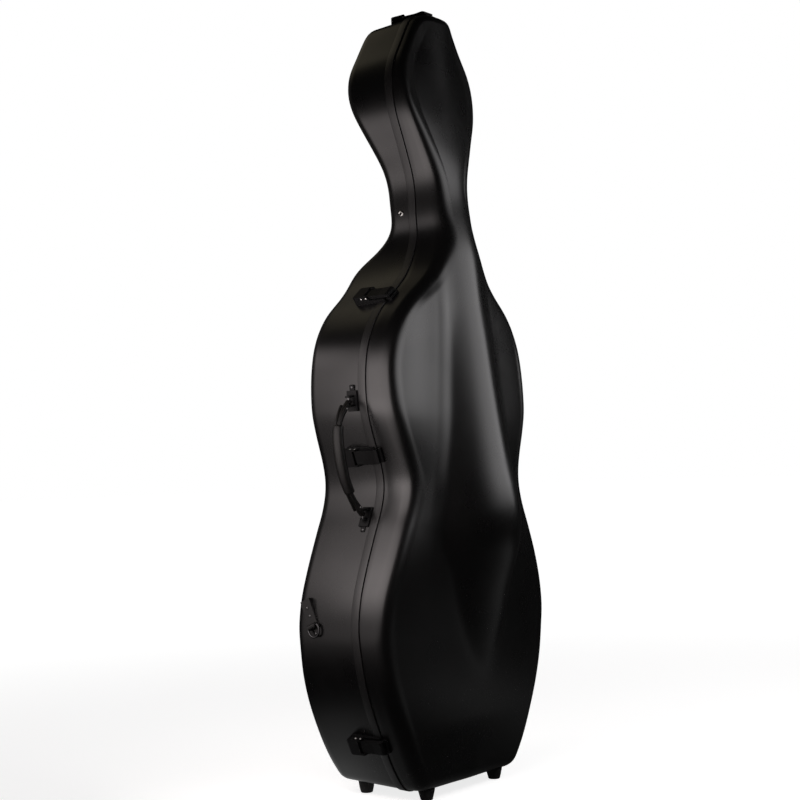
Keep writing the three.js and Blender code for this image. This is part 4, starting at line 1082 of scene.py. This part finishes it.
SIDE_PADS = [f"{bout}_side_pad_{far}" for bout in ("lower", "upper") for far in ("left", "right")]
for node in ("end_cushion", *SIDE_PADS, "lower_back_pad", "upper_back_pad", "neck_cradle", "head_cushion"):
    pad(f"{node}_stuffed", node, "back")
pad("lid_end_cushion_stuffed", "lid_end_cushion", "lid")
pad("neck_strap_soft", "neck_strap", "strap_flap", 0.9, False)
for far in ("left", "right"):
    pad(f"{far}_frog_pocket_soft", f"{far}_frog_pocket", "lid", 1.2, False)

# %% [markdown]
# ## Camera
#
# The camera was fitted to the outline, the seam and the feet in the photograph. It stands 2.6 m away to the
# left of the lid, at about two fifths of the case's height, and is turned a little about its own axis.
# Angles are used in place of a target object, because the fit gave angles.

# %% Camera


def aimed(location, yaw, pitch, roll):
    """Camera matrix: forward is (sin yaw cos pitch, cos yaw cos pitch, sin pitch), then it turns by roll."""
    yaw, pitch, roll = map(math.radians, (yaw, pitch, roll))
    forward = Vector((math.sin(yaw) * math.cos(pitch), math.cos(yaw) * math.cos(pitch), math.sin(pitch)))
    level = Vector((math.cos(yaw), -math.sin(yaw), 0))
    upright = level.cross(forward)
    right = math.cos(roll) * level + math.sin(roll) * upright
    up = math.cos(roll) * upright - math.sin(roll) * level
    matrix = Matrix((right, up, -forward)).transposed().to_4x4()
    matrix.translation = location
    return matrix


CAMERA_PLACE = (-2.10268, -1.55285, 0.54128)
YAW, PITCH, ROLL = 52.116, 1.181, -2.058
SENSOR_MM, FOCAL_MM, SHIFT_UP = 36, 68.676, 0.05
lens = bpy.data.cameras.new("photo_camera")
lens.sensor_width, lens.lens, lens.shift_y = SENSOR_MM, FOCAL_MM, SHIFT_UP
camera = add("photo_camera", lens)
camera.matrix_world = aimed(CAMERA_PLACE, YAW, PITCH, ROLL)
bpy.context.scene.camera = camera
print("camera", round(math.hypot(*CAMERA_PLACE), 2), "m from the origin")

# %% [markdown]
# ## Studio
#
# The studio is a white sweep. A black satin case mirrors whatever stands near it, so the white must reach
# the camera but not the case. The floor and the world are white to the camera and in mirrors and glass, and
# they give the surfaces only a dim even light.

# %% Floor and world
FLOOR_NEAR, FLOOR_HALF, WORLD_LIGHT = 0.80, 40.0, 0.02
SQUARE = [(-1, -1), (1, -1), (1, 1), (-1, 1)]


def shown(tree):
    """1 where a ray comes from the camera, a reflection or glass, and 0 for light that surfaces share."""
    path = tree.nodes.new("ShaderNodeLightPath")
    names = ("Is Camera Ray", "Is Glossy Ray", "Is Transmission Ray")
    camera_ray, glossy, through = (Socket(tree, path.outputs[name]) for name in names)
    return camera_ray.math("MAXIMUM", camera_ray.math("MAXIMUM", camera_ray, glossy), through)


def stage_mesh(name, points, faces, material, uv=None):
    """A mesh of the studio, in metres, with a UV map where one is given."""
    mesh = bpy.data.meshes.new(name)
    mesh.from_pydata(points, [], faces)
    if uv is not None:
        layer = mesh.uv_layers.new(name="UVMap")
        layer.data.foreach_set("uv", np.array(uv, np.float32).ravel())
    mesh.materials.append(material)
    piece = add(name, mesh)
    return piece


def floor():
    """Pale paper. It glows to the camera, more with the distance, until it is as white as the backdrop."""
    material, shader, here = new_material("floor_paper", 0.9, 0.0)
    tree = material.node_tree
    fine = noise(here, 3)
    link(fine.colours((0.79, 0.79, 0.79), (0.82, 0.82, 0.82)), shader, "Base Color")
    plain = here.node("BsdfDiffuse", {}, {"Color": (0.8, 0.8, 0.8, 1)})
    away = here.node("VectorMath", {"operation": "LENGTH"}, {0: here}, 1)
    glow = away.between(0.6, 3.2, 0.0, 1.0).colours((FLOOR_NEAR,) * 3, (1.0, 1.0, 1.0))
    shine(shader, glow)
    mixed = here.node("MixShader", {}, {0: shown(tree), 1: plain, 2: Socket(tree, shader.outputs[0])})
    tree.links.new(mixed.socket, tree.nodes["Material Output"].inputs["Surface"])
    points = [(x * FLOOR_HALF, y * FLOOR_HALF, 0) for x, y in SQUARE]
    stage_mesh("floor", points, [(0, 1, 2, 3)], material)


def world(strength):
    """White to the camera, to reflections and through glass, and a dim even grey to everything else."""
    made = bpy.data.worlds.new("studio")
    bpy.context.scene.world = made
    made.use_nodes = True
    tree = made.node_tree
    tree.nodes.clear()
    seen = shown(tree)
    white = seen.node("Background", {}, {"Color": (1, 1, 1, 1), "Strength": 1.0})
    dim = seen.node("Background", {}, {"Color": (1, 1, 1, 1), "Strength": strength})
    mixed = seen.node("MixShader", {}, {0: seen, 1: dim, 2: white})
    output = tree.nodes.new("ShaderNodeOutputWorld")
    tree.links.new(mixed.socket, output.inputs["Surface"])


floor()
world(WORLD_LIGHT)
print("floor and world:", bpy.context.scene.world.name)

# %% [markdown]
# A black case looks black only where it mirrors something dark, and photographers put black flags there. A
# duller shell would lose the lights in it too, so a ring of flags with a lid and a card on the floor are
# built. Only reflections see them. There they show a dim painted glow, and the card shows painted pools of
# light where the boxes would light the floor.

# %% Black flags
# FLAG_PAINTED_GLOW is the dim painted glow of the flags, seen only in reflections
FLAG_RADIUS, FLAG_HEIGHT, FLAG_PAINTED_GLOW, CARD_RISE = 4.0, 4.0, 0.012, 0.0008


def flags(radius, height, dark, glows):
    """A round wall of flags with a lid, and a card on the floor, as rings at (radius, z). All of them give
    off a dim painted glow. Where a box would light the card, a painted pool of light glows as dark + b
    exp(-d^2 / (2 r^2)), with d from the middle of the lit patch."""
    material, shader, here = new_material("flag_cloth_painted_glow", 1.0, 0.0)
    shader.inputs["Base Color"].default_value = (0.0, 0.0, 0.0, 1)
    # painted glow: the flags give off a dim light, and each patch below adds a painted pool of light
    glow = noise(here, 2).between(0.0, 1.0, dark * 0.8, dark * 1.2)
    for x, y, reach, brightness in glows:
        d = here.node("VectorMath", {"operation": "DISTANCE"}, {0: here, 1: (x, y, 0.0)}, 1)
        glow = glow + brightness * d.math("POWER", math.exp(-0.5 / reach**2), d * d)
    shine(shader, glow.colours((0, 0, 0), (1, 1, 1)))
    angle = turns(64)
    circle = np.stack([np.cos(angle), np.sin(angle)], -1)
    rings = [(0.01, CARD_RISE), (radius, CARD_RISE), (radius, height), (0.01, height)]
    points = np.concatenate([np.c_[circle * r, np.full_like(angle, z)] for r, z in rings])
    faces = grid_quads(len(rings), len(angle), True)
    card = stage_mesh("black_flags", points.tolist(), faces.tolist(), material)
    card.visible_camera = card.visible_diffuse = card.visible_shadow = card.visible_transmission = False


# x, y, reach and brightness of each painted pool of light on the card, in metres
PAINTED_LIGHT_POOLS = [(-0.1, 0.19, 0.108, 0.47), (0.57, -0.8, 0.35, 0.22)]
flags(FLAG_RADIUS, FLAG_HEIGHT, FLAG_PAINTED_GLOW, PAINTED_LIGHT_POOLS)
print(len(PAINTED_LIGHT_POOLS), "lit patches on the card")

# %% [markdown]
# The lights are soft boxes, and the case shows each as a soft streak. Blender's area lights have hard edges
# in a mirror, so each box is a glowing panel whose light fades towards its edges. Its place was found from
# the streak.

# %% Soft boxes


def soft_box(name, azimuth, distance, slide, height, size, feather, strength, colour):
    """An upright glowing panel that faces the case. Its centre is distance n + slide t, with n = (sin a,
    -cos a) and t = (cos a, sin a) for the azimuth a. Its glow falls off over the feather at each edge. The
    panel is clear, so where two of them overlap their glows add up."""
    a = math.radians(azimuth)
    n, t = np.array([math.sin(a), -math.cos(a), 0]), np.array([math.cos(a), math.sin(a), 0])
    centre = distance * n + slide * t + [0, 0, height]
    reach = np.array(size) / 2 + np.array(feather) / 2
    up = np.array([0, 0, 1])
    points = [(centre + u * reach[0] * t + v * reach[1] * up).tolist() for u, v in SQUARE]
    material, shader, _ = new_material(name, 1.0, 0.0)
    shader.inputs["Base Color"].default_value = (0.0, 0.0, 0.0, 1)
    tree = material.node_tree
    place = Socket(tree, tree.nodes.new("ShaderNodeUVMap").outputs["UV"])
    glow = None
    for axis, (soft, half) in enumerate(zip(feather, reach)):
        value = place.node("SeparateXYZ", {}, {"Vector": place}, axis)
        width = max(soft, 0.01) / (2 * half)
        side = value.between(0.0, width, 0.0, 1.0) * value.between(1.0 - width, 1.0, 1.0, 0.0)
        glow = side if glow is None else glow * side
    shine(shader, glow.colours((0, 0, 0), colour), strength)
    both, clear = tree.nodes.new("ShaderNodeAddShader"), tree.nodes.new("ShaderNodeBsdfTransparent")
    tree.links.new(shader.outputs["BSDF"], both.inputs[0])
    tree.links.new(clear.outputs["BSDF"], both.inputs[1])
    tree.links.new(both.outputs["Shader"], tree.nodes["Material Output"].inputs["Surface"])
    uv = [((u + 1) / 2, (v + 1) / 2) for u, v in SQUARE]
    panel = stage_mesh(name, points, [(0, 1, 2, 3)], material, uv)
    panel.visible_camera = False


# name, azimuth, distance, slide, height, size, feather, strength and colour, in degrees and metres
BOXES = [
    ("left_box", -99.2, 0.624, 0.164, 0.697, (0.915, 0.502), (0.19, 0.23), 2.9, (1.05, 0.96, 0.95)),
    ("left_low_box", -107.6, 0.5, 0.148, 0.398, (0.7, 0.449), (0.7, 0.05), 0.75, (1.05, 0.96, 0.95)),
    ("neck_box", -138.0, 0.62, 0.0, 0.93, (0.24, 0.15), (0.16, 0.1), 1.25, (1.05, 0.96, 0.95)),
    ("rear_left_box", -185.9, 0.5, 0.608, 0.784, (0.2, 0.22), (0.34, 0.55), 3.0, (1.05, 0.96, 0.95)),
    ("front_box", 11.4, 1.0, 0.51, 1.04, (1.47, 0.74), (0.7, 0.12), 2.6, (1.0, 0.98, 0.99)),
    ("rear_box", 210.0, 0.802, -1.0, 1.436, (1.818, 1.8), (0.14, 0.05), 0.04, (1.0, 0.93, 0.85)),
    ("warm_top_box", 180.0, 1.3, 0.0, 2.45, (1.05, 1.0), (0.3, 0.4), 0.26, (1.0, 0.88, 0.62)),
]
for row in BOXES:
    soft_box(*row)
print(len(BOXES), "soft boxes")

bpy.context.scene.view_settings.view_transform = "Standard"

# %% [markdown]
# The visual model stays inside the CAD model's box but for a small margin, so both boxes go into a file.
